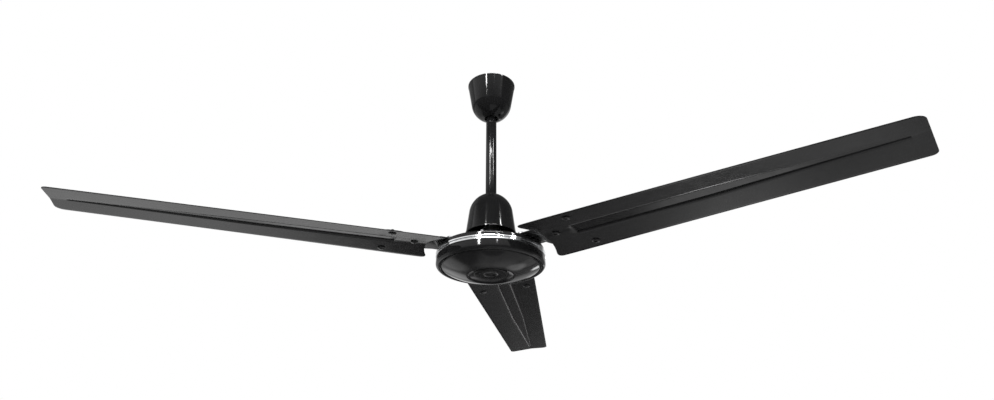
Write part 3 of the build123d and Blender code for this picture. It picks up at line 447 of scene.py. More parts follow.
def copy_of(piece, matrix):
    """Copy of a finished piece with its own mesh, at another place."""
    twin = piece.copy()
    twin.data = piece.data.copy()
    bpy.context.scene.collection.objects.link(twin)
    return moved(twin, matrix)


def joined(pieces, name):
    """Several solids as one piece."""
    begin()
    for piece in pieces:
        piece.select_set(True)
    bpy.context.view_layer.objects.active = pieces[0]
    if len(pieces) > 1:
        bpy.ops.object.join()
    pieces[0].name = name
    return pieces[0]


def refined(node, finish, edge, body, slot):
    """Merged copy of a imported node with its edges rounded, which then stands for it."""
    begin()
    piece = nodes[node].copy()
    piece.data = nodes[node].data.copy()
    for key in [key for key in piece.keys() if key.startswith("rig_")]:
        del piece[key]
    piece.parent = None
    bpy.context.scene.collection.objects.link(piece)
    piece.select_set(True)
    bpy.context.view_layer.objects.active = piece
    bpy.ops.object.mode_set(mode="EDIT")
    bpy.ops.mesh.select_all(action="SELECT")
    bpy.ops.mesh.remove_doubles(threshold=0.002 * MM)
    bpy.ops.mesh.dissolve_limited(angle_limit=radians(1.0))
    bpy.ops.object.mode_set(mode="OBJECT")
    finished(piece, node + "_fine", finish, edge)
    return belong(piece, body, slot, node)


# Canopies

def cup_rings(sizes, up):
    """Profile of a pressed cup from its rim at zero: up is 1 for a bell, -1 for a cup open at the top."""
    rim_r, straight, taper, bowl_r, hole_r, neck_wall, neck = sizes
    slope = radians(taper)
    centre_r = rim_r - straight * tan(slope) - bowl_r * cos(slope)
    centre_h = straight - bowl_r * sin(slope)

    def bowl(reach, end_r, steps):
        end = acos((end_r - centre_r) / reach)
        angles = [slope + (end - slope) * step / steps for step in range(steps + 1)]
        return [(centre_r + reach * cos(angle), centre_h + reach * sin(angle)) for angle in angles]

    neck_r = hole_r + neck_wall
    outside = [(rim_r - 0.35, 0), (rim_r, 0.35), (rim_r - 0.05, 2.6), (rim_r - 0.6, 3.0)]
    outside += bowl(bowl_r, hole_r + 0.5, 26)
    inside = bowl(bowl_r - CUP_WALL, neck_r, 18)
    neck_end = inside[-1][1] - neck
    rings = outside + [(hole_r, outside[-1][1] - 0.3), (hole_r, neck_end), (neck_r, neck_end)]
    rings += list(reversed(inside)) + [(rim_r - CUP_WALL, 0)]
    return [(radius, up * height) for radius, height in rings]


def canopy(name, sizes, up, rim, body, node):
    """Canopy shell at its place on the stem."""
    shell = finished(turned(cup_rings(sizes, up)), name, HOUSING_PAINT, 0.15, 50)
    moved(shell, Matrix.Translation((0, 0, rim * MM)))
    return belong(shell, body, "black_enamel", node)


canopy("upper_canopy_shell", CANOPY, -1, CANOPY_RIM, "upper_canopy", "upper_canopy")
canopy("lower_canopy_bell", BELL, 1, BELL_RIM, "lower_canopy", "lower_canopy")


# Pipe and coupling

rod_bore_r = ROD_R - ROD_WALL
pipe_rings = [(ROD_R, ROD_BOTTOM), (ROD_R, ROD_TOP), (rod_bore_r, ROD_TOP), (rod_bore_r, ROD_BOTTOM)]
pipe = finished(turned(pipe_rings, TUBE_SIDES), "downrod_pipe", ROD_PAINT, 0.3)
belong(pipe, "stem", "black_enamel", "downrod")
socket_r = ROD_R + SEAT_GAP
bore_r = SHAFT_R + SEAT_GAP
coupling_rings = [
    (COUPLING_R, COUPLING_BOTTOM), (COUPLING_R, COUPLING_TOP), (socket_r, COUPLING_TOP),
    (socket_r, ROD_BOTTOM), (bore_r, ROD_BOTTOM), (bore_r, COUPLING_BOTTOM),
]
coupling = finished(turned(coupling_rings, TUBE_SIDES), "coupling_sleeve", ZINC, 0.4)
belong(coupling, "stem", "zinc_steel", "shaft_coupling")


# Motor covers

def at_deck(rings):
    """Profile moved from heights over the deck to the ceiling's frame."""
    return [(radius, DECK + height) for radius, height in rings]


def dome_height(radius):
    """Underside of the dome, with its slight belly."""
    share = (DOME_R - radius) / (DOME_R - RECESS_R)
    edge = RIM + 0.2
    return edge + (RECESS_EDGE - edge) * share - DOME_BELLY * 4 * share * (1 - share)


hub_arcs = arc((15.3, 23.5), 1.0, 90, 20, 4) + [(18.6, 22.2), (20.2, 21.5)]
hub_arcs += arc((45.0, 19.5), 2.0, 90, 62, 3) + arc((48.6, 16.4), 2.4, 55, 29, 3)
shoulder = arc((61.6, 2.0), 2.0, 209, 270, 5) + arc((DECK_R - 1.75, -1.5), 1.5, 90, 12, 6)
shoulder += [(DECK_R - 0.14, -2.3), (DECK_R - 0.02, -3.6), (DECK_R, -4.6)]
upper_foot = TRIM_BOTTOM - SEAT_GAP
boss_r = UPPER_POCKET_R + COVER_WALL
upper_rings = [(UPPER_BORE_R, 24.5)] + hub_arcs + shoulder + [
    (DECK_R, upper_foot), (SPIGOT_R, upper_foot), (SPIGOT_R, -10.5), (HOLLOW_R, -10.5),
    (HOLLOW_R, -COVER_WALL), (57.0, -COVER_WALL), (44.0, 17.0), (boss_r, 17.0), (boss_r, 5.5),
    (UPPER_POCKET_R, 5.5), (UPPER_POCKET_R, 18.5), (UPPER_BORE_R, 18.5),
]
upper_cover = finished(turned(at_deck(upper_rings), 180), "motor_top_cover", HOUSING_PAINT, 0.2, 50)
belong(upper_cover, "rotor", "cast_shell", "upper_cover")

band = [(SPIGOT_R, upper_foot), (MOTOR_R - 0.3, upper_foot), (MOTOR_R, TRIM_BOTTOM - 0.5)]
band += arc((MOTOR_R - RIM_FILLET, RIM + RIM_FILLET), RIM_FILLET, 0, -90, 10)
groove_top = RIM + 3
groove = [(RIM_INNER_R + 0.5, RIM), (RIM_INNER_R, RIM + 0.5), (RIM_INNER_R, groove_top), (DOME_R, groove_top)]
groove += [(DOME_R, dome_height(DOME_R) + 0.6), (DOME_R - 0.6, dome_height(DOME_R - 0.6))]
steps = 18
dome_radii = [DOME_R - 2 + (RECESS_R + 2.2 - DOME_R) * step / steps for step in range(steps + 1)]
dome = [(radius, dome_height(radius)) for radius in dome_radii]
recess_lip = dome_height(RECESS_R)
recess = [
    (RECESS_R - 0.7, recess_lip + 0.25), (RECESS_R - 1.2, recess_lip + 0.9),
    (RECESS_R - 1.5, RECESS_FLOOR - 2.6), (RECESS_R - 2.0, RECESS_FLOOR - 2.3),
    (RECESS_R - 5.0, RECESS_FLOOR - 1.2),
    (RECESS_R - 8.5, RECESS_FLOOR - 0.35), (33.2, RECESS_FLOOR), (SHAFT_R, RECESS_FLOOR),
]
floor_top = RECESS_FLOOR + COVER_WALL
pocket_r = LOWER_POCKET_R
pocket_top = floor_top + 11.1
hollow = [
    (SHAFT_R, floor_top), (pocket_r, floor_top), (pocket_r, pocket_top), (pocket_r + COVER_WALL, pocket_top),
    (pocket_r + COVER_WALL, floor_top), (44.0, floor_top), (HOLLOW_R, dome_height(HOLLOW_R) + COVER_WALL),
    (HOLLOW_R, -25.5), (SPIGOT_R, -25.5),
]
lower_rings = at_deck(band + groove + dome + recess + hollow)
lower_cover = finished(turned(lower_rings, 180), "motor_bottom_cover", HOUSING_PAINT, 0.2, 50)
belong(lower_cover, "rotor", "cast_shell", "lower_cover")

trim_middle = (TRIM_TOP + TRIM_BOTTOM) / 2
trim_rings = [(DECK_R + SEAT_GAP, TRIM_BOTTOM), (TRIM_GROOVE_R, TRIM_BOTTOM)]
for middle in (TRIM_BOTTOM + BEAD_HALF, TRIM_TOP - BEAD_HALF):
    low_edge, high_edge = (TRIM_EDGE_R, middle - 1.95), (TRIM_EDGE_R, middle + 1.95)
    trim_rings += [low_edge] + arc((94.4, middle), 8.0, -13, 13, 6) + [high_edge]
    if middle < trim_middle:
        trim_rings += [(TRIM_GROOVE_R, trim_middle - 0.4), (TRIM_GROOVE_R, trim_middle + 0.4)]
trim_rings += [(TRIM_GROOVE_R, TRIM_TOP), (DECK_R + SEAT_GAP, TRIM_TOP)]
trim = finished(turned(at_deck(trim_rings), 200), "bright_trim_ring", TRIM_METAL)
belong(trim, "rotor", "bright_trim", "trim_ring")

cap_rings = [(CAP_R, RECESS_FLOOR - SEAT_GAP)] + arc((CAP_R - 1.2, CAP_FACE + 1.2), 1.2, 0, -90, 5)
cap_rings += [(22.0, CAP_FACE), (14.2, CAP_FACE), (13.2, CAP_FACE + 0.15)]
cap_rings += [(12.0, CAP_FACE + 0.75), (11.0, CAP_FACE + 0.95), (3.0, CAP_FACE + 1.0)]
cap = finished(turned(at_deck(cap_rings), 120, closed=False), "hub_cap_disc", HOUSING_PAINT)
belong(cap, "rotor", "black_enamel", "hub_cap")


# Blades

def blend_of(pair, radius):
    """Value between a pair at the blade's root and tip."""
    return pair[0] + (pair[1] - pair[0]) * (radius - ROOT_R) / (TIP_R - ROOT_R)


def falls(radius):
    """Slopes of the leading and trailing flank."""
    def slope(pair):
        first, last = tan(radians(pair[0])), tan(radians(pair[1]))
        return blend_of((first, last), radius)
    return slope(LEAD_FALL), slope(TRAIL_FALL)


def crease_height(radius):
    """Height of the crease over the deck."""
    return -SEAT_DROP - (radius - SEAT_R) * tan(radians(DROOP))


def flank(radius, t):
    """Height of the blade's top face over the deck, with the round of its bend."""
    lead, trail = falls(radius)
    reach = BEND_R * tan((atan(lead) + atan(trail)) / 2)
    crease = crease_height(radius)
    if abs(t) >= reach:
        return crease - abs(t) * (lead if t < 0 else trail)
    along = t + reach
    return crease - reach * lead + lead * along - (lead + trail) * along * along / (4 * reach)


def rib_edges(radius):
    """Places of the rib's two edges and its height: even at first, then tapering to the tip."""
    share = min(max((radius - RIB_TAPER_R) / (RIB_R[1] - RIB_TAPER_R), 0), 1)
    return tuple(pair[0] + (pair[1] - pair[0]) * share for pair in (RIB_LEAD, RIB_TRAIL, RIB_HEIGHT))


def eased(share):
    """Share from none to full with a soft start and end."""
    share = min(max(share, 0), 1)
    return share * share * (3 - 2 * share)


def sheet_height(radius, t):
    """Top face of the blade, rib included."""
    base = flank(radius, t)
    left, right, height = rib_edges(radius)
    rise = min(eased((radius - RIB_R[0]) / RIB_END), eased((RIB_R[1] - radius) / (2 * RIB_END)))
    side = min(eased((t - left) / RIB_SLOPE), eased((right - t) / RIB_SLOPE))
    if rise <= 0 or side <= 0:
        return base
    left, right = left + RIB_SLOPE, right - RIB_SLOPE
    first, last = flank(radius, left), flank(radius, right)
    top = first + (last - first) * (t - left) / (right - left)
    return base + (top + height - base) * side * rise


def corner_cut(distance, corner):
    """How far a rounded corner moves the edge in, at a distance from the end."""
    if distance >= corner:
        return 0.0
    return corner - sqrt(max(corner**2 - (corner - distance) ** 2, 0))


def blade_rows():
    """Distances of the rows of points from the blade's root, close together where the sheet bends."""
    length = TIP_R - ROOT_R
    rows = [ROOT_CORNER * (1 - cos(radians(10 * step))) for step in range(9)]
    rows += [18, 24, 31, 38, 46]
    rows += [RIB_R[0] - ROOT_R + RIB_END * step / 6 for step in range(7)]
    start, end = RIB_R[0] - ROOT_R + RIB_END, RIB_R[1] - ROOT_R - 2 * RIB_END
    rows += [start + (end - start) * step / 44 for step in range(1, 45)]
    rows += [end + 2 * RIB_END * step / 6 for step in range(1, 7)]
    rows += [length - TIP_CORNERS[0] * (1 - cos(radians(10 * step))) for step in range(9, -1, -1)]
    return sorted(set(round(row, 4) for row in rows))


def blade_columns(distance):
    """Places of the columns of points across the blade, at a distance from its root."""
    radius = ROOT_R + distance
    left_cut = corner_cut(distance, ROOT_CORNER) + corner_cut(TIP_R - radius, TIP_CORNERS[0])
    right_cut = corner_cut(distance, ROOT_CORNER) + corner_cut(TIP_R - radius, TIP_CORNERS[1])
    lead, trail = -blend_of(LEAD, radius) + left_cut, blend_of(TRAIL, radius) - right_cut
    left, right = rib_edges(radius)[:2]
    columns = [lead + (left - lead) * step / 10 for step in range(10)]
    columns += [left + RIB_SLOPE * step / 6 for step in range(6)]
    columns += [left + RIB_SLOPE + (right - left - 2 * RIB_SLOPE) * step / 8 for step in range(9)]
    columns += [right - RIB_SLOPE + RIB_SLOPE * step / 6 for step in range(1, 6)]
    columns += [right + (trail - right) * step / 10 for step in range(11)]
    return columns


def blade_sheet():
    """One blade along X: a grid shaped to its outline, bend and rib, then given its thickness."""
    rows = blade_rows()
    across = len(blade_columns(0))
    begin()
    bpy.ops.mesh.primitive_grid_add(x_subdivisions=len(rows) - 1, y_subdivisions=across - 1, size=1)
    piece = bpy.context.object
    for vertex in piece.data.vertices:
        row = round((vertex.co.x + 0.5) * (len(rows) - 1))
        column = round((vertex.co.y + 0.5) * (across - 1))
        distance = rows[row]
        t = blade_columns(distance)[column]
        start = sqrt(ROOT_R**2 - t * t)
        radius = distance + start + (ROOT_R - start) * eased(distance / ROOT_CURVE)
        vertex.co = Vector((radius, t, DECK + sheet_height(radius, t))) * MM
    thick = piece.modifiers.new("Sheet", "SOLIDIFY")
    thick.thickness = BLADE_THICK * MM
    thick.offset = -1
    bpy.ops.object.modifier_apply(modifier="Sheet")
    return finished(piece, "blade_model", BLADE_PAINT, 0.42, 60)


def turn_of(index):
    """Turn that takes a piece modelled along X to its blade."""
    return Matrix.Rotation(radians(BLADE_TURN + 120 * index), 4, "Z")


blade_model = blade_sheet()
for index in range(3):
    piece = copy_of(blade_model, turn_of(index))
    piece.name = f"blade_sheet_{index + 1}"
    belong(piece, "rotor", "black_enamel", f"blade_{index + 1}")
bpy.data.objects.remove(blade_model)


# Brackets

def rounded_outline(points, radii, steps=7):
    """Outline with its corners rounded."""
    outline = []
    for place, (x, y) in enumerate(points):
        corner = Vector((x, y))
        before = (Vector(points[place - 1]) - corner).normalized()
        after = (Vector(points[(place + 1) % len(points)]) - corner).normalized()
        radius = radii[place]
        if not radius:
            outline.append((x, y))
            continue
        half = before.angle(after) / 2
        reach = radius / tan(half)
        centre = corner + (before + after).normalized() * radius / sin(half)
        first, last = corner + before * reach - centre, corner + after * reach - centre
        sweep = first.angle_signed(last)
        for step in range(steps + 1):
            spin = -sweep * step / steps
            outline.append((
                centre.x + first.x * cos(spin) - first.y * sin(spin),
                centre.y + first.x * sin(spin) + first.y * cos(spin),
            ))
    return outline


def bracket_height(radius, t):
    """Underside of a bracket over the deck: flat, sloping, then along the blade's flanks."""
    seat_r = max(radius, SEAT_R)
    lead, trail = falls(seat_r)
    seat = crease_height(seat_r) - abs(t) * (lead if t < 0 else trail) + 0.04
    if radius <= FOLD_R:
        return 0.0
    if radius < SEAT_R:
        return seat * (radius - FOLD_R) / (SEAT_R - FOLD_R)
    return seat


def bracket_plate():
    """One bracket along X: a cut plate, folded where the pressing folds."""
    half = [(128.5, 29), (185.5, 58), (212, 58), (212, 33.5), (161, 10)]
    radii = [18, 9, 9, 5, 6]
    inner = [(sqrt(63**2 - t * t), t) for t in (-29, -19, -10, 0, 10, 19, 29)]
    points = inner + half + [(x, -y) for x, y in reversed(half)]
    corners = [4] + [0] * 5 + [4] + radii + list(reversed(radii))
    outline = rounded_outline(points, corners)
    begin()
    bpy.ops.mesh.primitive_circle_add(vertices=len(outline), radius=1, fill_type="NGON")
    piece = bpy.context.object
    ordered = sorted(piece.data.vertices, key=lambda vertex: atan2(vertex.co.y, vertex.co.x))
    for vertex, (x, y) in zip(ordered, outline):
        vertex.co = Vector((x, y, 0)) * MM
    bpy.ops.object.mode_set(mode="EDIT")
    for x in (FOLD_R, SEAT_R, 150, 181):
        bpy.ops.mesh.select_all(action="SELECT")
        bpy.ops.mesh.bisect(plane_co=(x * MM, 0, 0), plane_no=(1, 0, 0))
    bpy.ops.mesh.select_all(action="SELECT")
    bpy.ops.mesh.bisect(plane_co=(0, 0, 0), plane_no=(0, 1, 0))
    bpy.ops.mesh.select_all(action="SELECT")
    bpy.ops.mesh.normals_make_consistent(inside=False)
    bpy.ops.object.mode_set(mode="OBJECT")
    for vertex in piece.data.vertices:
        x, y = vertex.co.x / MM, vertex.co.y / MM
        vertex.co.z = (DECK + bracket_height(x, y)) * MM
    thick = piece.modifiers.new("Plate", "SOLIDIFY")
    thick.thickness = BRACKET_THICK * MM
    thick.offset = 1 if piece.data.polygons[0].normal.z > 0 else -1
    bpy.ops.object.modifier_apply(modifier="Plate")
    return finished(piece, "bracket_model", BLADE_PAINT, 0.5, 40)


bracket_model = bracket_plate()
for index in range(3):
    piece = copy_of(bracket_model, turn_of(index))
    piece.name = f"blade_bracket_plate_{index + 1}"
    belong(piece, "rotor", "black_enamel", f"blade_bracket_{index + 1}")
bpy.data.objects.remove(bracket_model)


# Screws

def cross_cut(piece, width, length, depth, face):
    """Cross recess in a screw's head, sunk from its face."""
    for across, along in ((width, length), (length, width)):
        begin()
        bpy.ops.mesh.primitive_cube_add(size=1, location=(0, 0, face * MM))
        cutter = bpy.context.object
        cutter.scale = (across * MM, along * MM, 2 * depth * MM)
        bpy.ops.object.transform_apply(location=True, rotation=True, scale=True)
        cut = piece.modifiers.new("Cross", "BOOLEAN")
        cut.operation = "DIFFERENCE"
        cut.object = cutter
        bpy.context.view_layer.objects.active = piece
        bpy.ops.object.modifier_apply(modifier="Cross")
        bpy.data.objects.remove(cutter)


def round_screw(radius, head_r, head, length):
    """Round-headed screw, pointing down from its seat at zero, with a cross recess."""
    rings = [(radius * 0.8, -length), (radius, -length + 0.4), (radius, 0)]
    rings += [(head_r - 0.3, 0), (head_r, 0.3), (head_r, HEAD_EDGE)]
    for angle in (18, 36, 54, 70, 82):
        lift = radians(angle)
        rings.append((head_r * cos(lift), HEAD_EDGE + (head - HEAD_EDGE) * sin(lift)))
    screw = turned(rings, 40, closed=False)
    cross_cut(screw, 1.5, head_r * 0.95, 1.5, head)
    return finished(screw, "round_screw_model", SCREW_ENAMEL)


def hexagon_block(flats, low, high, edge, finish=ZINC):
    """Hexagonal head or nut between two heights, with its corners rounded."""
    begin()
    radius = flats / 2 / cos(radians(30)) * MM
    middle = (0, 0, (low + high) / 2 * MM)
    bpy.ops.mesh.primitive_cylinder_add(vertices=6, radius=radius, depth=(high - low) * MM, location=middle)
    return finished(bpy.context.object, "hexagon_model", finish, edge, 40)


def threaded(radius, low, high, pitch, finish=ZINC):
    """Shank with rolled thread ridges."""
    rings = [(radius * 0.8, low), (radius * 0.93, low + 0.4)]
    height = low + 0.6
    while height + pitch < high:
        rings += [(radius * 0.88, height), (radius, height + 0.45 * pitch), (radius, height + 0.55 * pitch)]
        height += pitch
    rings += [(radius, height), (radius, high)]
    return finished(turned(rings, 28, closed=False), "shank_model", finish)


def hex_screw(radius, flats, head, length):
    """Hexagon-headed screw, pointing down from its seat at zero."""
    face_r = flats * 0.49
    washer_face = finished(turned([(face_r, 0), (face_r, 0.4)], 36, closed=False), "face_model", DULL_ZINC)
    head_block = hexagon_block(flats, 0.35, head, 0.35, DULL_ZINC)
    shank = threaded(radius, -length, 0.1, 0.8, DULL_ZINC)
    return joined([head_block, washer_face, shank], "hex_screw_model")


def flank_place(radius, t):
    """Place on the blade's top face, tilted to its slope."""
    def plain(r, s):
        lead, trail = falls(r)
        return crease_height(r) - abs(s) * (lead if s < 0 else trail)
    across = atan((plain(radius, t + 1) - plain(radius, t - 1)) / 2)
    outward = atan(plain(radius, t) - plain(radius + 1, t))
    tilt = Matrix.Rotation(across, 4, "X") @ Matrix.Rotation(outward, 4, "Y")
    return Matrix.Translation(Vector((radius, t, DECK + plain(radius, t))) * MM) @ tilt


def screw_set(model, places, name, node):
    """Copies of one screw at their places on all three blades, as one piece."""
    copies = [copy_of(model, turn_of(index) @ place) for index in range(3) for place in places[index]]
    bpy.data.objects.remove(model)
    belong(joined(copies, name), "rotor", "zinc_steel", node)


def blade_screw_place(radius, t):
    """Place of a screw under the blade, head down, sunk to rest on the flank or astride the bend."""
    lead, trail = falls(radius)
    sink = SCREW_SINK if t else SCREW_SINK + BLADE_SCREW[1] * tan((atan(lead) + atan(trail)) / 2)
    under = flank_place(radius, t) @ Matrix.Translation((0, 0, (-BLADE_THICK - sink) * MM))
    return under @ Matrix.Rotation(pi, 4, "X") @ Matrix.Rotation(radians(25), 4, "Z")


def deck_place(radius, t, height, turn):
    """Place of an upright screw over the deck, with its head turned by an angle in degrees."""
    seat = Matrix.Translation(Vector((radius, t, DECK + height)) * MM)
    return seat @ Matrix.Rotation(radians(turn), 4, "Z")


under_blade = [blade_screw_place(radius, t) for radius, t in BLADE_SCREWS]
screw_set(round_screw(*BLADE_SCREW), [under_blade] * 3, "blade_screw_set", "blade_screws")
on_bracket = [
    [deck_place(radius, t, BRACKET_THICK, 15 * index) for radius, t in DECK_SCREWS] for index in range(3)
]
screw_set(hex_screw(*DECK_SCREW), on_bracket, "bracket_screw_set", "bracket_screws")
between = Matrix.Rotation(radians(60), 4, "Z") @ deck_place(COVER_SCREW_R, 0, 0, 0)
screw_set(hex_screw(*COVER_SCREW), [[between]] * 3, "cover_screw_set", "cover_screws")


# Cross bolts, with the head on the negative side of X

def cross_bolt(half_grip):
    """Bolt, nut and split pin modelled along X through the origin."""
    onto_x = Matrix.Rotation(radians(90), 4, "Y")
    head = hexagon_block(M8_FLATS, -half_grip - M8_HEAD, -half_grip, 0.5)
    shank = threaded(M8_R, -half_grip - 1, half_grip + BOLT_TAIL, M8_PITCH)
    bolt = joined([head, shank], "bolt_model")
    nut = hexagon_block(M8_FLATS, half_grip, half_grip + M8_NUT, 0.5)
    pin_rings = [(0.7, -6.7), (0.9, -6.4), (0.9, 6.4), (0.7, 6.7)]
    pin = finished(turned(pin_rings, 16, closed=False), "pin_model", ZINC)
    begin()
    bpy.ops.mesh.primitive_torus_add(
        major_radius=1.9 * MM, minor_radius=0.8 * MM, major_segments=28, minor_segments=10,
        location=(0, 0, 8.2 * MM), rotation=(0, radians(90), 0),
    )
    eye = finished(bpy.context.object, "eye_model", ZINC)
    beyond_nut = Matrix.Translation(((half_grip + PIN_OFFSET) * MM, 0, 0))
    pin = moved(joined([pin, eye], "pin_model"), beyond_nut)
    return moved(bolt, onto_x), moved(nut, onto_x), pin


def bolt_pieces(grip, name, seat):
    """Bolt, nut and pin at a place."""
    placed = []
    for piece, part in zip(cross_bolt(grip), ("bolt", "nut", "pin")):
        piece.name = f"{name}_{part}"
        placed.append(moved(piece, seat))
    return placed


def on_stem(height):
    """Place on the stem's axis at a height under the ceiling."""
    return Matrix.Translation((0, 0, height * MM))


hanger = bolt_pieces(BRACKET_HALF_GRIP, "hanger", on_stem(HANGER_Z))
for piece, node in zip(hanger, ("hanger_bolt", "hanger_nut", "hanger_split_pin")):
    belong(piece, "ceiling_mount", "zinc_steel", node)
crossways = Matrix.Rotation(radians(90), 4, "Z")
clevis = bolt_pieces(COUPLING_R, "clevis", on_stem(CLEVIS_Z) @ crossways)
sleeve = bolt_pieces(COUPLING_R, "coupling", on_stem(COUPLING_BOLT_Z))
for first, second, node in zip(clevis, sleeve, ("pipe_bolts", "pipe_nuts", "pipe_split_pins")):
    belong(joined([first, second], node + "_fine"), "stem", "zinc_steel", node)


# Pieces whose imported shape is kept, with rounded edges

refined("ceiling_bracket", ZINC, 0.5, "ceiling_mount", "zinc_steel")
refined("shackle", ZINC, 0.5, "stem", "zinc_steel")
refined("capacitor", CASE_PLASTIC, 0.6, "stem", "capacitor_case")
refined("capacitor_clip", ZINC, 0.2, "stem", "zinc_steel")


# Roller with a flange at each end

roller_rings = [
    (16.0, -13.5), (16.0, -12.6), (10.9, -10.2), (10.9, 10.2),
    (16.0, 12.6), (16.0, 13.5), (4.05, 13.5), (4.05, -13.5),
]
along_bolt = on_stem(HANGER_Z) @ Matrix.Rotation(radians(90), 4, "Y")
roller = finished(moved(turned(roller_rings, 80), along_bolt), "rubber_roller_bush", RUBBER, 0.6)
belong(roller, "ceiling_mount", "roller_rubber", "rubber_roller")


# Finishes of the nodes that stay as packed

kept = {
    BLACK_SCREW: ("upper_canopy_screw", "lower_canopy_screw"),
    ZINC: ("coupling_set_screw",),
    LAMINATIONS: ("stator_core", "rotor_core"),
    COPPER: ("stator_windings",),
    CAST_ALLOY: ("rotor_end_rings",),
    BEARING_METAL: (
        "motor_shaft", "shaft_circlip", "preload_washer",
        "upper_inner_race", "upper_ball_set", "upper_outer_race",
        "lower_inner_race", "lower_ball_set", "lower_outer_race",
    ),
}
for finish, names in kept.items():
    for name in names:
        nodes[name].data.materials.clear()
        nodes[name].data.materials.append(finish)


# Floor, which lets mirrored rays through to the studio below

FLOOR_SIZE = 120
FLOOR_Z = -2.6

begin()
bpy.ops.mesh.primitive_plane_add(size=FLOOR_SIZE, location=(0, 0, FLOOR_Z))
floor = bpy.context.object
floor.name = "studio_floor"
floor_finish, tree, shader, place = new_finish("Pale floor", 0.0)
clouds = use_group(tree, FINE_GRAIN, place, Scale=3.0, Low=0.0, High=1.0)
two_colours(tree, shader, clouds, grey(0.86), grey(0.88))
gloss(tree, shader, FINE_GRAIN, place, 9.0, 0.6, 0.8)
path = tree.nodes.new("ShaderNodeLightPath")
open_floor = tree.nodes.new("ShaderNodeBsdfTransparent")
either = tree.nodes.new("ShaderNodeMixShader")
tree.links.new(path.outputs["Is Glossy Ray"], either.inputs[0])
tree.links.new(shader.outputs[0], either.inputs[1])
tree.links.new(open_floor.outputs[0], either.inputs[2])
tree.links.new(either.outputs[0], tree.nodes["Material Output"].inputs["Surface"])
floor.data.materials.append(floor_finish)


# Lamps: narrow strips in front, for the lines on the pipe and canopies

MOTOR_MIDDLE = Vector((0, 0, -0.38))
LAMP_DISTANCE = 14


def towards(azimuth, elevation):
    """Direction, with azimuth from the studio's back towards its right, and elevation from the level."""
    turn, lift = radians(azimuth), radians(elevation)
    return Vector((sin(turn) * cos(lift), cos(turn) * cos(lift), sin(lift)))


# The strips would glare on these broad faces, so they don't shine on them
sheets = bpy.data.collections.new("Sheets out of the strips")
for index in range(3):
    sheets.objects.link(bpy.data.objects[f"blade_sheet_{index + 1}"])
    sheets.objects.link(bpy.data.objects[f"blade_bracket_plate_{index + 1}"])
for node in ("ceiling_bracket", "shackle"):
    sheets.objects.link(bpy.data.objects[node + "_fine"])
for entry in sheets.collection_objects:
    entry.light_linking.link_state = "EXCLUDE"


def soft_lamp(name, azimuth, elevation, wide, high, level):
    """Strip far from the motor, which it faces, with its width and height in degrees."""
    width, height = (2 * LAMP_DISTANCE * tan(radians(angle / 2)) for angle in (wide, high))
    lamp = bpy.data.lights.new(name, "AREA")
    lamp.shape = "RECTANGLE"
    lamp.size, lamp.size_y = width, height
    lamp.energy = level * pi * width * height
    box = bpy.data.objects.new(name, lamp)
    bpy.context.scene.collection.objects.link(box)
    box.light_linking.receiver_collection = sheets
    box.location = MOTOR_MIDDLE + towards(azimuth, elevation) * LAMP_DISTANCE
    box.rotation_euler = (-towards(azimuth, elevation)).to_track_quat("-Z", "Y").to_euler()


# Azimuth and elevation, width and height, then brightness
soft_lamp("Middle strip", 167, 22.8, 1.2, 4.4, 60)
soft_lamp("Left strip", -156, 28.5, 3.5, 19, 110)
soft_lamp("Right strip", 131, 31, 3.5, 15, 70)
soft_lamp("Level strip", -178, 34.2, 48, 1.6, 55)


# World: white to the camera, evenly lit, with soft panels for mirrored rays

EVEN_LIGHT = 0.9
STUDIO_LEVEL = 0.13

world = bpy.data.worlds.new("Studio")
bpy.context.scene.world = world
world.use_nodes = True
sky = world.node_tree
backdrop = sky.nodes["Background"]
path = sky.nodes.new("ShaderNodeLightPath")
view = sky.nodes.new("ShaderNodeSeparateXYZ")
direction = sky.nodes.new("ShaderNodeTexCoord").outputs["Generated"]
sky.links.new(direction, view.inputs[0])
to_right, to_back, upward = view.outputs


def fade(value, none, full):
    """Soft step from none to full."""
    step = sky.nodes.new("ShaderNodeMapRange")
    step.interpolation_type = "SMOOTHSTEP"
    rising = full > none
    step.inputs["From Min"].default_value = min(none, full)
    step.inputs["From Max"].default_value = max(none, full)
    step.inputs["To Min"].default_value = 0.0 if rising else 1.0
    step.inputs["To Max"].default_value = 1.0 if rising else 0.0
    sky.links.new(value, step.inputs["Value"])
    return step.outputs["Result"]


def product(*values):
    """Values multiplied together."""
    total = values[0]
    for value in values[1:]:
        total = math_node(sky, "MULTIPLY", total, value)
    return total


def facing(heading, way):
    """How far a heading faces a direction, from -1 to 1."""
    dot = sky.nodes.new("ShaderNodeVectorMath")
    dot.operation = "DOT_PRODUCT"
    dot.inputs[1].default_value = way
    sky.links.new(heading, dot.inputs[0])
    return dot.outputs["Value"]


def patch(azimuth, elevation, outer, inner, strength):
    """Round pale panel in the studio, with its edge from outer to inner degrees; below 0 it is a dark one."""
    edge = fade(facing(direction, towards(azimuth, elevation)), cos(radians(outer)), cos(radians(inner)))
    return product(edge, strength)


def level_dot(azimuth):
    """How far a direction faces an azimuth, whatever its height."""
    flat = sky.nodes.new("ShaderNodeCombineXYZ")
    sky.links.new(to_right, flat.inputs["X"])
    sky.links.new(to_back, flat.inputs["Y"])
    unit = sky.nodes.new("ShaderNodeVectorMath")
    unit.operation = "NORMALIZE"
    sky.links.new(flat.outputs[0], unit.inputs[0])
    return facing(unit.outputs[0], towards(azimuth, 0))


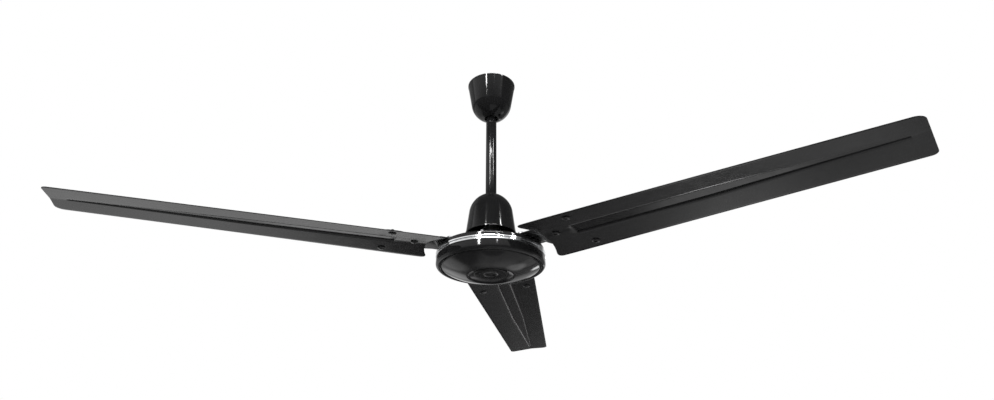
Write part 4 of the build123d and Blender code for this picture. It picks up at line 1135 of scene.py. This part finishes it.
# Wide panels: behind the fan and low on each side, underneath, and a level band in front
low_back = product(fade(to_back, -0.1, 0.2), fade(upward, 0.22, 0.02), fade(upward, -0.74, -0.62))
to_left = math_node(sky, "SUBTRACT", math_node(sky, "MULTIPLY", upward, 0.3), to_right)
band_height = product(fade(upward, 0.24, 0.36), fade(upward, 0.64, 0.54))
panels = [
    product(low_back, fade(to_left, -0.06, 0.36), 0.56),
    product(low_back, fade(to_right, 0.05, 0.5), 0.22),
    product(fade(upward, -0.58, -0.72), fade(to_right, -0.22, -0.06), 0.45),
    product(band_height, fade(level_dot(-157), 0.17, 0.26), 0.9),
]

# Round panels: azimuth, elevation, outer and inner edge in degrees, strength
pale_panels = (
    (-66, 34, 26, 8, 0.26), (26, 11, 22, 10, 0.8), (-24, 18, 22, 8, 0.35), (0, 20, 20, 12, 0.7),
    (-12, -12, 10, 4, 0.6), (-26, -31, 13, 6, 0.45), (-8, 2, 9, 3, 0.12), (10, -4, 14, 5, 0.3),
    (21.4, -15.5, 3.5, 2, 4.5), (18, -36.5, 8, 3, 1.0), (28, -34, 9, 5, 0.4), (14, -47, 10, 3, 0.2),
    (15, -31, 5, 2, 0.25), (62, -32, 10, 5, 1.2),
)
dark_panels = (
    (-20, -1, 12, 5, -0.13), (-4, -25, 7, 3, -0.1), (3, -18, 6, 3, -0.05), (-3, -40, 9, 4, -0.08),
    (8, -75, 12, 7, -0.4), (26, -30, 7, 3, -0.1), (25, -42, 7, 3, -0.15),
)
panels += [patch(*place) for place in pale_panels + dark_panels]
studio = STUDIO_LEVEL
for panel in panels:
    studio = math_node(sky, "ADD", panel, studio)
seen = sky.nodes.new("ShaderNodeMix")
seen.data_type = "FLOAT"
seen.inputs["A"].default_value = EVEN_LIGHT
sky.links.new(path.outputs["Is Glossy Ray"], seen.inputs["Factor"])
sky.links.new(studio, seen.inputs["B"])
shown = sky.nodes.new("ShaderNodeMix")
shown.data_type = "FLOAT"
shown.inputs["B"].default_value = 1.0
sky.links.new(path.outputs["Is Camera Ray"], shown.inputs["Factor"])
sky.links.new(seen.outputs["Result"], shown.inputs["A"])
sky.links.new(shown.outputs["Result"], backdrop.inputs["Strength"])
backdrop.inputs["Color"].default_value = (1, 1, 1, 1)


# Camera at the photograph's viewpoint

eye = bpy.data.cameras.new("Viewpoint")
eye.sensor_width = 36
eye.lens = 23.55
camera = bpy.data.objects.new("Viewpoint", eye)
bpy.context.scene.collection.objects.link(camera)
camera.location = (0, -1.13484, -0.83184)
camera.rotation_euler = (radians(90 + 26.23), radians(0.02), radians(-0.58))
bpy.context.scene.camera = camera
bpy.context.scene.view_settings.view_transform = "Standard"
